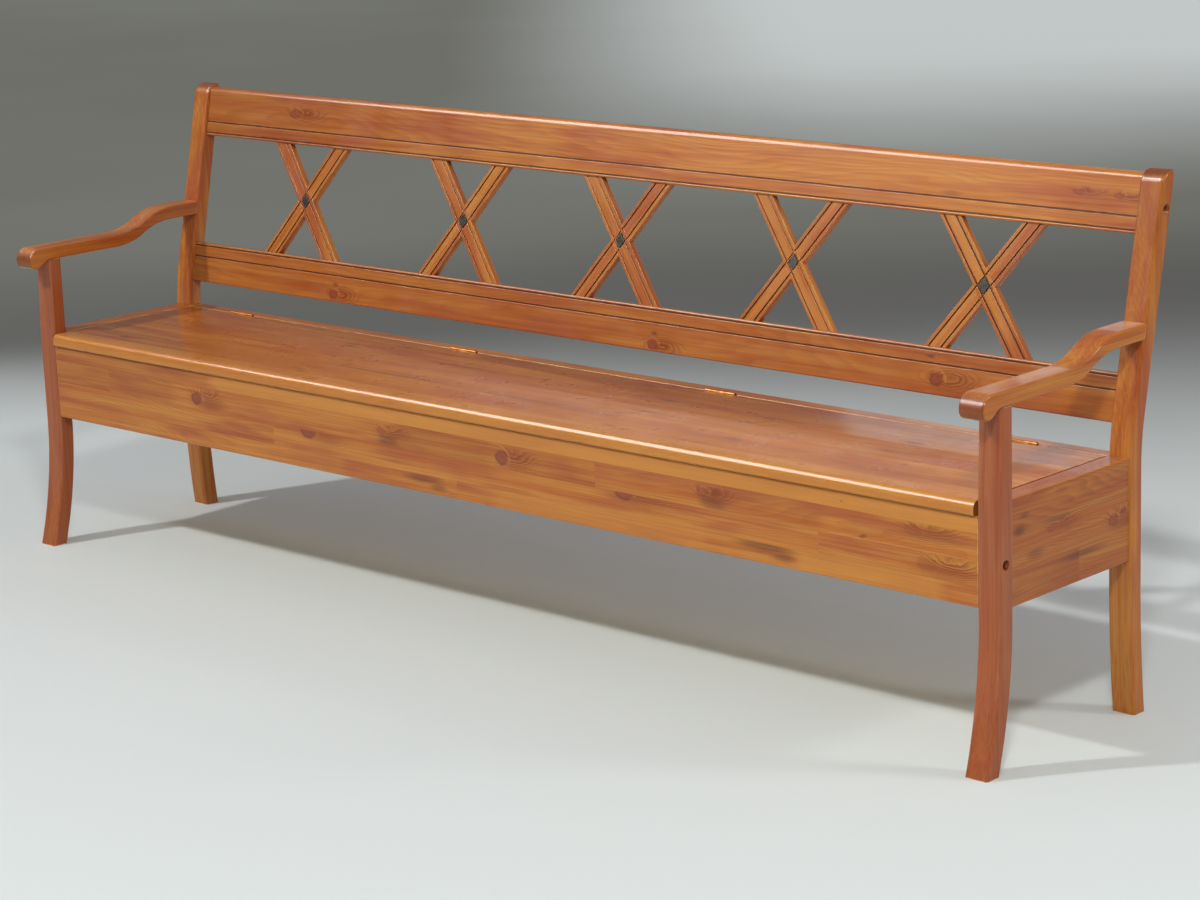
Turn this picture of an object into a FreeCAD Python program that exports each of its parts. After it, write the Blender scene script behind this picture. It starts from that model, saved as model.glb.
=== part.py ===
import FreeCAD, Part
import Sketcher
import math
import os

# A storage bench in stained pine. The frame stands on the floor with +Z up, its long side along X
# and its front towards -Y. The origin is on the floor, in the middle of the bench.

# Driving dimensions, in millimetres and degrees
SIZES = [
    ("overall_length", 2440, "end to end, over the arms"),
    ("leg_width", 46, "front legs and rear posts, along the bench"),
    ("front_leg_depth", 35, "front leg, front to back"),
    ("rear_post_depth", 33, "rear post, front to back"),
    ("front_leg_face", 222, "middle of the bench to the front of the front legs"),
    ("rear_post_face", 143, "middle of the bench to the front of the rear posts"),
    ("edge_round", 6, "rounded long edges of legs and posts"),
    ("front_foot_sweep", 39, "how far a front foot curves forward"),
    ("front_sweep_height", 260, "where that curve begins"),
    ("rear_foot_sweep", 13, "how far a rear foot curves back"),
    ("rear_sweep_height", 250, "where that curve begins"),
    ("front_leg_taper", 5, "how far the leg draws back between seat and arm"),
    ("seat_height", 446, "floor to the top of the seat"),
    ("seat_thickness", 25, "lid and seat strip"),
    ("seat_nose_round", 12, "upper front edge of the lid"),
    ("seat_lower_round", 5, "lower front edge of the lid"),
    ("lid_nose", 7, "how far the lid stands out past the front board"),
    ("lid_end_gap", 3.5, "between the lid and each end of the chest"),
    ("hinge_gap", 3, "between the lid and the seat strip"),
    ("hinge_line", 140, "middle of the bench to the hinge pins"),
    ("chest_edge_height", 270, "floor to the lower edge of the chest boards"),
    ("front_board_thickness", 22, "front board"),
    ("front_board_setback", 3, "front board behind the faces of the legs"),
    ("rear_board_thickness", 22, "rear board"),
    ("rear_board_setback", 3, "rear board in front of the backs of the posts"),
    ("side_board_thickness", 41, "end boards of the chest"),
    ("board_round", 3, "softened edges of the boards"),
    ("bottom_rise", 20, "lower edge of the chest boards to the underside of the chest bottom"),
    ("bottom_thickness", 9, "chest bottom"),
    ("cleat_width", 20, "strips that carry the chest bottom"),
    ("cleat_height", 18, "strips that carry the chest bottom"),
    ("bearer_width", 45, "strip across the middle of the chest bottom"),
    ("batten_width", 45, "strips under the lid"),
    ("batten_thickness", 18, "strips under the lid"),
    ("batten_clearance", 12, "batten ends clear of the chest boards"),
    ("batten_from_end", 370, "end of the lid to the middle of the first batten"),
    ("rake_angle", 12, "lean of the back"),
    ("bend_above_seat", 29, "seat to where the posts bend back"),
    ("bend_tangent", 50, "half the length of that bend"),
    ("post_rise", 450, "bend to the top of the posts, along the lean"),
    ("post_top_round", 26, "upper front edge of the posts"),
    ("rail_setback", 7, "rails behind the faces of the posts"),
    ("rail_thickness", 22, "top and lower rail"),
    ("lower_rail_start", 26, "bend to the lower rail, along the lean"),
    ("lower_rail_width", 83, "lower rail"),
    ("cross_opening", 229, "between the rails"),
    ("top_rail_width", 104, "top rail"),
    ("top_rail_round", 12, "upper front edge of the top rail"),
    ("groove_width", 3, "moulded grooves"),
    ("groove_depth", 2, "moulded grooves"),
    ("edge_groove", 6, "rail edge to its first groove"),
    ("inner_groove", 29, "rail edge to its second groove"),
    ("cross_angle", 37.5, "cross strips, from upright"),
    ("strip_width", 36, "cross strips"),
    ("strip_thickness", 14, "cross strips"),
    ("strip_setback", 4, "cross strips behind the faces of the rails"),
    ("strip_bead", 6, "strip edge to its groove"),
    ("strip_tenon", 8, "strip ends let into the rails"),
    ("diamond_thickness", 3, "inlay at each crossing"),
    ("left_cross_space", 328, "left post to the first crossing"),
    ("right_cross_space", 292, "last crossing to the right post"),
    ("wide_gap_extra", 42, "how much further apart the first two crossings are than the others"),
    ("arm_width", 49, "armrest"),
    ("arm_overhang", 1, "armrest past the outer face of its leg"),
    ("arm_above_seat", 182, "seat to the top of the armrest, at the front"),
    ("arm_rise", 38, "how much higher the armrest is at the post"),
    ("arm_thickness", 27, "armrest"),
    ("arm_reach", 45, "armrest in front of its leg"),
    ("arm_rise_start", 189, "front of the leg to the armrest's rise"),
    ("arm_rise_length", 146, "length of that rise"),
    ("arm_lead", 6, "how far the underside rises ahead of the top"),
    ("nose_round", 26, "armrest's front end, above"),
    ("nose_under_round", 16, "armrest's front end, below"),
    ("nose_under_angle", 30, "slope back up to the leg"),
    ("arm_edge_round", 4, "long edges of the armrest"),
    ("dowel_diameter", 10, "wooden dowels"),
    ("dowel_length", 50, "wooden dowels"),
    ("strip_dowel_reach", 16, "how far the upright dowels reach into the seat strip"),
    ("glue_gap", 0.1, "play of a dowel or screw in its hole"),
    ("bolt_diameter", 6, "connector bolts"),
    ("bolt_head_diameter", 13, "connector bolts"),
    ("bolt_head_height", 4, "connector bolts"),
    ("bolt_key_width", 5, "six-sided hole in the bolt heads"),
    ("bolt_key_depth", 2.8, "six-sided hole in the bolt heads"),
    ("bolt_recess_diameter", 17, "hole that hides a bolt head"),
    ("bolt_recess_depth", 14, "hole that hides a bolt head"),
    ("bolt_reach", 46, "bolt past the end of its board"),
    ("bolt_height", 346, "floor to the bolts of the front board"),
    ("top_bolt_drop", 58, "top of the back to the bolts of the top rail, along the lean"),
    ("nut_diameter", 10, "barrel nuts"),
    ("nut_length", 15, "barrel nuts"),
    ("nut_distance", 34, "end of a board to its barrel nut"),
    ("hinge_length", 70, "butt hinges"),
    ("hinge_from_end", 170, "end of the lid to the middle of the first hinge"),
    ("hinge_rise", 0.5, "hinge pins above the seat"),
    ("leaf_thickness", 2, "hinge leaves"),
    ("leaf_height", 24, "hinge leaves, below the pins"),
    ("knuckle_diameter", 6, "hinge barrels"),
    ("neck_height", 1, "straight part of a leaf between its barrel and its full length"),
    ("barrel_room", 0.8, "housing behind the hinge barrels"),
    ("barrel_room_below", 1.5, "housing below the hinge barrels"),
    ("knuckle_play", 0.3, "between hinge knuckles, end to end"),
    ("pin_diameter", 3, "hinge pins"),
    ("pin_play", 0.05, "around a hinge pin"),
    ("hinge_screw_drop", 16, "hinge pins to the hinge screws"),
    ("screw_diameter", 3.5, "hinge screws"),
    ("screw_length", 16, "hinge screws"),
    ("screw_head_diameter", 6.6, "hinge screws"),
    ("batten_screw_length", 36, "screws through the battens into the lid"),
    ("cleat_screw_length", 36, "screws through the cleats into the boards"),
    ("cleat_screw_from_end", 69, "end of a board to its first cleat screw"),
    ("wood_screw_diameter", 4, "screws through battens and cleats"),
    ("wood_screw_head", 8, "screws through battens and cleats"),
    ("wood_screw_sink", 0.5, "screw heads below the face of their batten or cleat"),
]

# Counts
HINGES = 4
BATTENS = 3
CLEAT_SCREWS = 5
CROSSINGS = 5

# How closely two coordinates agree when an edge is picked, in millimetres
TOLERANCE = 1e-4
# How far a cut reaches out of the wood, so that it leaves no skin, in millimetres
OVERCUT = 1

document = FreeCAD.newDocument("storage_bench")
sheet = document.addObject("Spreadsheet::Sheet", "Sizes")
for row, (alias, number, note) in enumerate(SIZES, start=1):
    sheet.set(f"A{row}", alias)
    sheet.set(f"B{row}", str(number))
    sheet.set(f"C{row}", note)
    sheet.setAlias(f"B{row}", alias)
document.recompute()


class Size:
    """A number worked out from the sheet, together with the expression that gives it."""

    def __init__(self, value, text):
        self.value = float(value)
        self.text = text

    def __float__(self):
        return self.value

    def __add__(self, other):
        other = as_size(other)
        return Size(self.value + other.value, f"({self.text} + {other.text})")

    def __radd__(self, other):
        return as_size(other) + self

    def __sub__(self, other):
        other = as_size(other)
        return Size(self.value - other.value, f"({self.text} - {other.text})")

    def __rsub__(self, other):
        return as_size(other) - self

    def __mul__(self, other):
        other = as_size(other)
        return Size(self.value * other.value, f"({self.text} * {other.text})")

    def __rmul__(self, other):
        return as_size(other) * self

    def __truediv__(self, other):
        other = as_size(other)
        return Size(self.value / other.value, f"({self.text} / {other.text})")

    def __neg__(self):
        return Size(-self.value, f"(0 - {self.text})")


def as_size(number):
    return number if isinstance(number, Size) else Size(number, repr(float(number)))


def given(alias):
    return Size(float(sheet.get(alias)), f"Sizes.{alias}")


def sine(angle):
    return Size(math.sin(math.radians(angle.value)), f"sin({angle.text})")


def cosine(angle):
    return Size(math.cos(math.radians(angle.value)), f"cos({angle.text})")


def tangent(angle):
    return Size(math.tan(math.radians(angle.value)), f"tan({angle.text})")


def bind(target, prop, size):
    target.setExpression(prop, as_size(size).text)


# Sketches. An outline is a list of steps: each ends at a point, by a straight line or by an arc.
def line_to(across, up):
    return as_size(across), as_size(up), None, 0


def arc_to(across, up, radius, turn):
    """turn is 1 for an arc that bends to the left on its way, and -1 for one that bends right."""
    return as_size(across), as_size(up), as_size(radius), turn


def arc_geometry(start, end, radius, turn):
    chord = end - start
    middle = start + chord * 0.5
    left = FreeCAD.Vector(-chord.y, chord.x, 0).normalize()
    reach = math.sqrt(max(radius ** 2 - (chord.Length / 2) ** 2, 0.0))
    centre = middle + left * (reach * turn)
    first, last = (start, end) if turn > 0 else (end, start)
    first_angle = math.atan2(first.y - centre.y, first.x - centre.x)
    last_angle = math.atan2(last.y - centre.y, last.x - centre.x)
    circle = Part.Circle(centre, FreeCAD.Vector(0, 0, 1), radius)
    return Part.ArcOfCircle(circle, first_angle, last_angle)


def outline(body, plane_role, steps, offset=None):
    plane = [item for item in body.Origin.OriginFeatures if item.Role == plane_role][0]
    sketch = body.newObject("Sketcher::SketchObject", body.Name + "_outline")
    sketch.AttachmentSupport = [(plane, "")]
    sketch.MapMode = "FlatFace"
    if offset is not None:
        sketch.AttachmentOffset = FreeCAD.Placement(
            FreeCAD.Vector(0, 0, float(offset)), FreeCAD.Rotation())
        bind(sketch, "AttachmentOffset.Base.z", offset)
    points = [FreeCAD.Vector(step[0].value, step[1].value, 0) for step in steps]
    for index, (across, up, radius, turn) in enumerate(steps):
        start, end = points[index - 1], points[index]
        if radius is None:
            sketch.addGeometry(Part.LineSegment(start, end))
        else:
            sketch.addGeometry(arc_geometry(start, end, radius.value, turn))
    for index, (across, up, radius, turn) in enumerate(steps):
        end_mark = 1 if turn < 0 else 2
        following = (index + 1) % len(steps)
        following_mark = 2 if steps[following][3] < 0 else 1
        sketch.addConstraint(
            Sketcher.Constraint("Coincident", index, end_mark, following, following_mark))
        for kind, size in (("DistanceX", across), ("DistanceY", up)):
            number = sketch.addConstraint(Sketcher.Constraint(kind, index, end_mark, size.value))
            bind(sketch, f"Constraints[{number}]", size)
        if radius is not None:
            number = sketch.addConstraint(Sketcher.Constraint("Radius", index, radius.value))
            bind(sketch, f"Constraints[{number}]", radius)
    return sketch


def rectangle(left, low, right, high):
    return [line_to(left, low), line_to(right, low), line_to(right, high), line_to(left, high)]


# Features
def new_body(label):
    body = document.addObject("PartDesign::Body", label)
    body.Label = label
    return body


def pad(body, sketch, length, symmetric=True, reverse=False):
    feature = body.newObject("PartDesign::Pad", body.Name + "_pad")
    feature.Profile = sketch
    feature.SideType = "Symmetric" if symmetric else "One side"
    feature.Reversed = reverse
    bind(feature, "Length", length)
    document.recompute()
    return feature


def pocket(body, sketch, depth):
    before = body.Shape.Volume
    feature = body.newObject("PartDesign::Pocket", body.Name + "_pocket")
    feature.Profile = sketch
    bind(feature, "Length", depth)
    document.recompute()
    if body.Shape.Volume >= before:
        raise RuntimeError(body.Label + ": a pocket cut nothing")
    return feature


def round_edges(body, radius, chosen):
    """Rounds each edge of the body's shape for which chosen(edge) is true."""
    edges = body.Shape.Edges
    names = [f"Edge{number}" for number, edge in enumerate(edges, start=1) if chosen(edge)]
    tip = body.Tip
    feature = body.newObject("PartDesign::Fillet", body.Name + "_round")
    feature.Base = (tip, names)
    bind(feature, "Radius", radius)
    document.recompute()
    return feature


def place(target, x, y, z, axis=None, angle=None):
    rotation = FreeCAD.Rotation()
    if axis is not None:
        rotation = FreeCAD.Rotation(axis, float(angle))
    target.Placement = FreeCAD.Placement(FreeCAD.Vector(float(x), float(y), float(z)), rotation)
    bind(target, "Placement.Base.x", x)
    bind(target, "Placement.Base.y", y)
    bind(target, "Placement.Base.z", z)
    if axis is not None:
        bind(target, "Placement.Rotation.Angle", angle)


def board(label, low, high):
    """A plain board between two corners, each given as (x, y, z)."""
    box = document.addObject("Part::Box", label)
    box.Label = label
    for prop, start, end in zip(("Length", "Width", "Height"), low, high):
        bind(box, prop, end - start)
    place(box, *low)
    return box


def finished(label, blank, cutters):
    """Drills the blank, and gives the drilled piece the blank's name."""
    blank.Label = label + "_blank"
    tool = document.addObject("Part::Feature", label + "_holes")
    tool.Shape = cutters[0].fuse(cutters[1:])
    piece = document.addObject("Part::Cut", label)
    piece.Base = blank
    piece.Tool = tool
    piece.Label = label
    document.recompute()
    if piece.Shape.Volume >= blank.Shape.Volume - 1:
        raise RuntimeError(label + ": the holes cut nothing")
    return piece


def spread(reach, count):
    """Evenly spaced places from -reach to +reach."""
    return [reach * (2 * number / (count - 1) - 1) for number in range(count)]


def rod(diameter, length, start, direction):
    return Part.makeCylinder(float(diameter) / 2, float(length), start, direction)


def cone(first, second, length, start, direction):
    return Part.makeCone(float(first) / 2, float(second) / 2, float(length), start, direction)


def point(x, y, z):
    return FreeCAD.Vector(float(x), float(y), float(z))


ALONG = FreeCAD.Vector(1, 0, 0)
BACKWARD = FreeCAD.Vector(0, 1, 0)
UPWARD = FreeCAD.Vector(0, 0, 1)

# Places that several pieces share
leg_width = given("leg_width")
glue_gap = given("glue_gap")
seat_top = given("seat_height")
seat_under = seat_top - given("seat_thickness")
chest_low = given("chest_edge_height")
bottom_under = chest_low + given("bottom_rise")
leg_outer = given("overall_length") / 2 - given("arm_overhang")
leg_inner = leg_outer - leg_width
front_leg_front = -given("front_leg_face")
front_leg_back = front_leg_front + given("front_leg_depth")
post_front = given("rear_post_face")
post_back = post_front + given("rear_post_depth")
front_board_front = front_leg_front + given("front_board_setback")
front_board_back = front_board_front + given("front_board_thickness")
rear_board_back = post_back - given("rear_board_setback")
rear_board_front = rear_board_back - given("rear_board_thickness")
hinge_line = given("hinge_line")
strip_front = hinge_line + given("hinge_gap") / 2
lid_front = front_board_front - given("lid_nose")
lid_back = hinge_line - given("hinge_gap") / 2
lid_half = leg_inner - given("lid_end_gap")
pin_height = seat_top + given("hinge_rise")
arm_top = seat_top + given("arm_above_seat")
arm_rear_top = arm_top + given("arm_rise")
arm_under = arm_top - given("arm_thickness")

# The back leans. Places on it are given by their depth behind the faces of the posts, and by
# their rise along the lean from the point where the posts bend.
rake = given("rake_angle")
bend_height = seat_top + given("bend_above_seat")
rail_front = given("rail_setback")
rail_thickness = given("rail_thickness")
lower_rail_low = given("lower_rail_start")
lower_rail_high = lower_rail_low + given("lower_rail_width")
top_rail_low = lower_rail_high + given("cross_opening")
top_rail_high = top_rail_low + given("top_rail_width")


def on_back(depth, rise):
    y = post_front + depth * cosine(rake) + rise * sine(rake)
    z = bend_height - depth * sine(rake) + rise * cosine(rake)
    return y, z


def into_back():
    """The direction straight into the leaning back, from its face."""
    return point(0, cosine(rake), -sine(rake))


def lean(body):
    """Stands a piece drawn upright on the face of the back."""
    y, z = on_back(as_size(0), as_size(0))
    place(body, as_size(0), y, z, ALONG, -rake)


def is_side_edge(half_width):
    """Picks the edges in the two side faces of a padded side view, apart from those of its sole."""
    def chosen(edge):
        box = edge.BoundBox
        in_side = abs(abs(box.XMin) - half_width) < TOLERANCE and box.XLength < TOLERANCE
        return in_side and box.ZMax > TOLERANCE
    return chosen


# Dowels, bolts and nuts. Each is listed as (start, direction), where it starts in one piece and
# runs into the next.
def dowel(start, direction):
    return rod(given("dowel_diameter"), given("dowel_length"), start, direction)


def dowel_hole(start, direction):
    wider = given("dowel_diameter") + glue_gap * 2
    longer = given("dowel_length") + glue_gap * 2
    return rod(wider, longer, start - direction * glue_gap.value, direction)


def across_joint(joint_point, direction):
    """The start of a dowel whose middle lies at the joint."""
    return joint_point - direction * (given("dowel_length").value / 2)


def side_board_dowels(side):
    x = side * (leg_inner + given("side_board_thickness") / 2)
    inset = (seat_top - chest_low) / 5
    joints = []
    for height in (chest_low + inset, seat_top - inset):
        joints.append((across_joint(point(x, front_leg_back, height), BACKWARD), BACKWARD))
        joints.append((across_joint(point(x, post_front, height), -BACKWARD), -BACKWARD))
    return joints


def chest_dowels(side):
    """Front board, rear board and seat strip, at one end."""
    outward = ALONG * side
    joints = []
    middle = (front_board_front + front_board_back) / 2
    inset = (seat_under - chest_low) / 5
    rear_middle = (rear_board_front + rear_board_back) / 2
    for y in (middle, rear_middle):
        for height in (chest_low + inset, seat_under - inset):
            joints.append((across_joint(point(side * leg_inner, y, height), outward), outward))
    return joints


def rail_dowels(side):
    outward = ALONG * side
    depth = rail_front + rail_thickness / 2
    quarter = given("lower_rail_width") / 4
    edge = given("top_rail_width") / 5
    rises = (lower_rail_low + quarter, lower_rail_high - quarter,
             top_rail_low + edge, top_rail_high - edge)
    joints = []
    for rise in rises:
        y, z = on_back(depth, rise)
        joints.append((across_joint(point(side * leg_inner, y, z), outward), outward))
    return joints


def arm_centre():
    return leg_outer + given("arm_overhang") - given("arm_width") / 2


def arm_dowels(side):
    x = side * arm_centre()
    leg_middle = (front_leg_front + given("front_leg_taper") + front_leg_back) / 2
    # the dowel stops short of the armrest's top by a third of the armrest's thickness
    top = arm_under + given("arm_thickness") * 2 / 3
    upright = (point(x, leg_middle, top - given("dowel_length")), UPWARD)
    middle_height = arm_rear_top - given("arm_thickness") / 2
    post_face = post_front + (middle_height - bend_height) * tangent(rake)
    # this one reaches two fifths of its length into the post
    start = post_face - given("dowel_length") * 3 / 5
    level = (point(x, start, middle_height), BACKWARD)
    return [upright, level]


def strip_dowels():
    """Upright dowels between the rear board and the seat strip above it."""
    y = (rear_board_front + rear_board_back) / 2
    start = seat_under + given("strip_dowel_reach") - given("dowel_length")
    joints = []
    for number in range(HINGES + 1):
        x = leg_inner * ((number - HINGES / 2) / (HINGES / 2 + 0.5))
        joints.append((point(x, y, start), UPWARD))
    return joints


def bolt_places(side):
    """(y, z, direction into the back of the board) for the two bolts at one end."""
    depth = rail_front + rail_thickness / 2
    y, z = on_back(depth, top_rail_high - given("top_bolt_drop"))
    board_middle = (front_board_front + front_board_back) / 2
    return [(board_middle, given("bolt_height"), BACKWARD), (y, z, into_back())]


def bolt(y, z, side):
    inward = ALONG * -side
    seat = side * (leg_outer - given("bolt_recess_depth"))
    head_outer = side * (leg_outer - given("bolt_recess_depth") + given("bolt_head_height"))
    head = rod(given("bolt_head_diameter"), given("bolt_head_height"), point(head_outer, y, z), inward)
    length = leg_width - given("bolt_recess_depth") + given("bolt_reach")
    shank = rod(given("bolt_diameter"), length, point(seat, y, z), inward)
    across_corners = given("bolt_key_width").value / math.cos(math.radians(30))
    corners = []
    for corner in range(7):
        angle = math.radians(60 * corner)
        corners.append(point(head_outer, y, z) + FreeCAD.Vector(
            0, across_corners / 2 * math.cos(angle), across_corners / 2 * math.sin(angle)))
    key = Part.Face(Part.makePolygon(corners)).extrude(inward * given("bolt_key_depth").value)
    return head.fuse(shank).cut(key)


def bolt_holes(y, z, side):
    inward = ALONG * -side
    outer = point(side * (leg_outer + OVERCUT), y, z)
    recess = rod(given("bolt_recess_diameter"), given("bolt_recess_depth") + OVERCUT, outer, inward)
    length = leg_width + given("bolt_reach") + 2 * OVERCUT
    shank = rod(given("bolt_diameter") + glue_gap * 4, length, outer, inward)
    return [recess, shank]


def nut_start(y, z, side, into):
    x = side * (leg_inner - given("nut_distance"))
    return point(x, y, z) - into * (given("nut_length").value / 2)


def barrel_nut(y, z, side, into):
    nut = rod(given("nut_diameter"), given("nut_length"), nut_start(y, z, side, into), into)
    x = side * (leg_inner - given("nut_distance")) - given("nut_diameter")
    thread = rod(given("bolt_diameter") + glue_gap * 2, given("nut_diameter") * 2,
                 point(x, y, z), ALONG)
    return nut.cut(thread)


def nut_hole(y, z, side, into, board_thickness):
    """Drilled from the back of the board, past the nut."""
    length = (board_thickness + given("nut_length")) / 2 + OVERCUT
    return rod(given("nut_diameter") + glue_gap * 2, length, nut_start(y, z, side, into), into)


def fasteners(label, shapes):
    group = document.addObject("Part::Feature", label)
    group.Shape = Part.makeCompound(shapes)
    group.Label = label
    return group


SIDES = {"left": -1, "right": 1}


# Front legs
def front_leg(label, side):
    body = new_body(label + "_shape")
    sweep = given("front_foot_sweep")
    curve = given("front_sweep_height")
    radius = (curve * curve + sweep * sweep) / (sweep * 2)
    top = arm_under
    # the last arc ends where the first line starts
    steps = [
        line_to(front_leg_back - sweep, 0),
        arc_to(front_leg_back, curve, radius, 1),
        line_to(front_leg_back, top),
        line_to(front_leg_front + given("front_leg_taper"), top),
        line_to(front_leg_front, seat_top),
        line_to(front_leg_front, curve),
        arc_to(front_leg_front - sweep, 0, radius, -1),
    ]
    pad(body, outline(body, "YZ_Plane", steps), leg_width)
    half = leg_width.value / 2

    def chosen(edge):
        return is_side_edge(half)(edge) and edge.BoundBox.ZLength > TOLERANCE
    round_edges(body, given("edge_round"), chosen)
    place(body, side * (leg_outer + leg_inner) / 2, as_size(0), as_size(0))
    y, z, into = bolt_places(side)[0]
    cutters = bolt_holes(y, z, side)
    joints = side_board_dowels(side) + chest_dowels(side) + arm_dowels(side)[:1]
    near = [joint for joint in joints if joint[0].y < 0]
    cutters += [dowel_hole(*joint) for joint in near]
    return finished(label, body, cutters)


# Rear posts, each in one piece from the floor to the top of the back
def rear_post(label, side):
    body = new_body(label + "_shape")
    depth = given("rear_post_depth")
    sweep = given("rear_foot_sweep")
    curve = given("rear_sweep_height")
    radius = (curve * curve + sweep * sweep) / (sweep * 2)
    length = given("bend_tangent")
    bend_radius = length / tangent(rake / 2)
    rise = given("post_rise")
    front_round = given("post_top_round")
    back_round = depth - front_round

    steps = [
        line_to(post_back + sweep, 0),
        arc_to(post_back, curve, radius, -1),
        line_to(post_back, bend_height - length),
        arc_to(*on_back(depth, length), bend_radius - depth, -1),
        line_to(*on_back(depth, rise - back_round)),
        arc_to(*on_back(depth - back_round, rise), back_round, 1),
        arc_to(*on_back(0, rise - front_round), front_round, 1),
        line_to(*on_back(0, length)),
        arc_to(post_front, bend_height - length, bend_radius, 1),
        line_to(post_front, curve),
        arc_to(post_front + sweep, 0, radius, 1),
    ]
    pad(body, outline(body, "YZ_Plane", steps), leg_width)
    round_edges(body, given("edge_round"), is_side_edge(leg_width.value / 2))
    place(body, side * (leg_outer + leg_inner) / 2, as_size(0), as_size(0))
    y, z, into = bolt_places(side)[1]
    cutters = bolt_holes(y, z, side)
    joints = side_board_dowels(side) + chest_dowels(side) + rail_dowels(side) + arm_dowels(side)[1:]
    near = [joint for joint in joints if joint[0].y > 0]
    cutters += [dowel_hole(*joint) for joint in near]
    return finished(label, body, cutters)


# Armrests: level over the front leg, then an S-shaped rise to the post
def armrest(label, side):
    body = new_body(label + "_shape")
    top = arm_top
    rear_top = arm_rear_top
    under = arm_under
    rear_under = rear_top - given("arm_thickness")
    nose = given("nose_round")
    under_round = given("nose_under_round")
    slope = given("nose_under_angle")
    front = front_leg_front - given("arm_reach")
    rise = given("arm_rise")
    length = given("arm_rise_length")
    radius = (length * length + rise * rise) / (rise * 4)
    rise_start = front_leg_front + given("arm_rise_start")
    lead_start = rise_start - given("arm_lead")
    low_y = front + under_round + under_round * sine(slope)
    low_z = top - nose - under_round * cosine(slope)
    leave_y = low_y + (under - low_z) / tangent(slope)

    def face(height):
        return post_front + (height - bend_height) * tangent(rake)

    steps = [
        line_to(face(rear_under), rear_under),
        line_to(face(rear_top), rear_top),
        line_to(rise_start + length, rear_top),
        arc_to(rise_start + length / 2, top + rise / 2, radius, 1),
        arc_to(rise_start, top, radius, -1),
        line_to(front + nose, top),
        arc_to(front, top - nose, nose, 1),
        arc_to(low_y, low_z, under_round, 1),
        line_to(leave_y, under),
        line_to(lead_start, under),
        arc_to(lead_start + length / 2, under + rise / 2, radius, 1),
        arc_to(lead_start + length, rear_under, radius, -1),
    ]
    pad(body, outline(body, "YZ_Plane", steps), given("arm_width"))
    half = given("arm_width").value / 2
    end_face = face(rear_under).value - TOLERANCE

    def chosen(edge):
        return is_side_edge(half)(edge) and edge.BoundBox.YMin < end_face
    round_edges(body, given("arm_edge_round"), chosen)
    place(body, side * arm_centre(), as_size(0), as_size(0))
    return finished(label, body, [dowel_hole(*joint) for joint in arm_dowels(side)])


# Boards of the chest
def end_board(label, side):
    body = new_body(label + "_shape")
    steps = rectangle(front_leg_back, chest_low, post_front, seat_top)
    pad(body, outline(body, "YZ_Plane", steps), given("side_board_thickness"))
    half = given("side_board_thickness").value / 2

    def chosen(edge):
        box = edge.BoundBox
        return abs(box.XMin - side * half) < TOLERANCE and box.YLength > TOLERANCE
    round_edges(body, given("board_round"), chosen)
    place(body, side * (leg_inner + given("side_board_thickness") / 2), as_size(0), as_size(0))
    return finished(label, body, [dowel_hole(*joint) for joint in side_board_dowels(side)])


def long_board(label, front, back, low, high, rounded):
    """A board along the bench. rounded(y, z) picks the long edges that are softened."""
    body = new_body(label + "_shape")
    pad(body, outline(body, "YZ_Plane", rectangle(front, low, back, high)), leg_inner * 2)

    def chosen(edge):
        box = edge.BoundBox
        return box.XLength > TOLERANCE and rounded(box.YMin, box.ZMin)
    round_edges(body, given("board_round"), chosen)
    return body


def front_board():
    body = long_board("front_board", front_board_front, front_board_back, chest_low, seat_under,
                      lambda y, z: y < front_board_front.value + TOLERANCE)
    cutters = []
    for side in SIDES.values():
        y, z, into = bolt_places(side)[0]
        cutters += bolt_holes(y, z, side)[1:]
        cutters.append(nut_hole(y, z, side, into, given("front_board_thickness")))
        cutters += [dowel_hole(*joint) for joint in chest_dowels(side) if joint[0].y < 0]
    cutters += [wood_screw_hole(*item) for item in cleat_screws("front_cleat")]
    return finished("front_board", body, cutters)


def rear_board():
    def outer_low(y, z):
        return y > rear_board_back.value - TOLERANCE and z < seat_under.value - TOLERANCE
    body = long_board("rear_board", rear_board_front, rear_board_back, chest_low, seat_under, outer_low)
    cutters = [dowel_hole(*joint) for joint in strip_dowels()]
    for side in SIDES.values():
        cutters += [dowel_hole(*joint) for joint in chest_dowels(side) if joint[0].y > 0]
    cutters += [wood_screw_hole(*item) for item in cleat_screws("rear_cleat")]
    return finished("rear_board", body, cutters)


# The fixed strip of the seat behind the lid, which carries the hinges
def seat_strip():
    def outer_high(y, z):
        return y > rear_board_back.value - TOLERANCE and z > seat_top.value - TOLERANCE
    body = long_board("seat_strip", strip_front, rear_board_back, seat_under, seat_top, outer_high)
    cutters = [dowel_hole(*joint) for joint in strip_dowels()]
    for x in hinge_places():
        cutters += hinge_housing(x, 1)
        cutters += [screw_hole(*screw) for screw in hinge_screws(x, 1)]
    return finished("seat_strip", body, cutters)


# The lid
def seat_lid():
    body = new_body("seat_lid_shape")
    upper = given("seat_nose_round")
    lower = given("seat_lower_round")
    # the last arc ends where the first line starts
    steps = [
        line_to(lid_back, seat_under),
        line_to(lid_back, seat_top),
        line_to(lid_front + upper, seat_top),
        arc_to(lid_front, seat_top - upper, upper, 1),
        line_to(lid_front, seat_under + lower),
        arc_to(lid_front + lower, seat_under, lower, 1),
    ]
    pad(body, outline(body, "YZ_Plane", steps), lid_half * 2)
    cutters = []
    for x in hinge_places():
        cutters += hinge_housing(x, -1)
        cutters += [screw_hole(*screw) for screw in hinge_screws(x, -1)]
    cutters += [wood_screw_hole(*screw) for screw in batten_screws()]
    return finished("seat_lid", body, cutters)


def batten_places():
    return spread(lid_half - given("batten_from_end"), BATTENS)


def batten_ends():
    clearance = given("batten_clearance")
    return front_board_back + clearance, rear_board_front - given("cleat_width") - clearance


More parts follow.
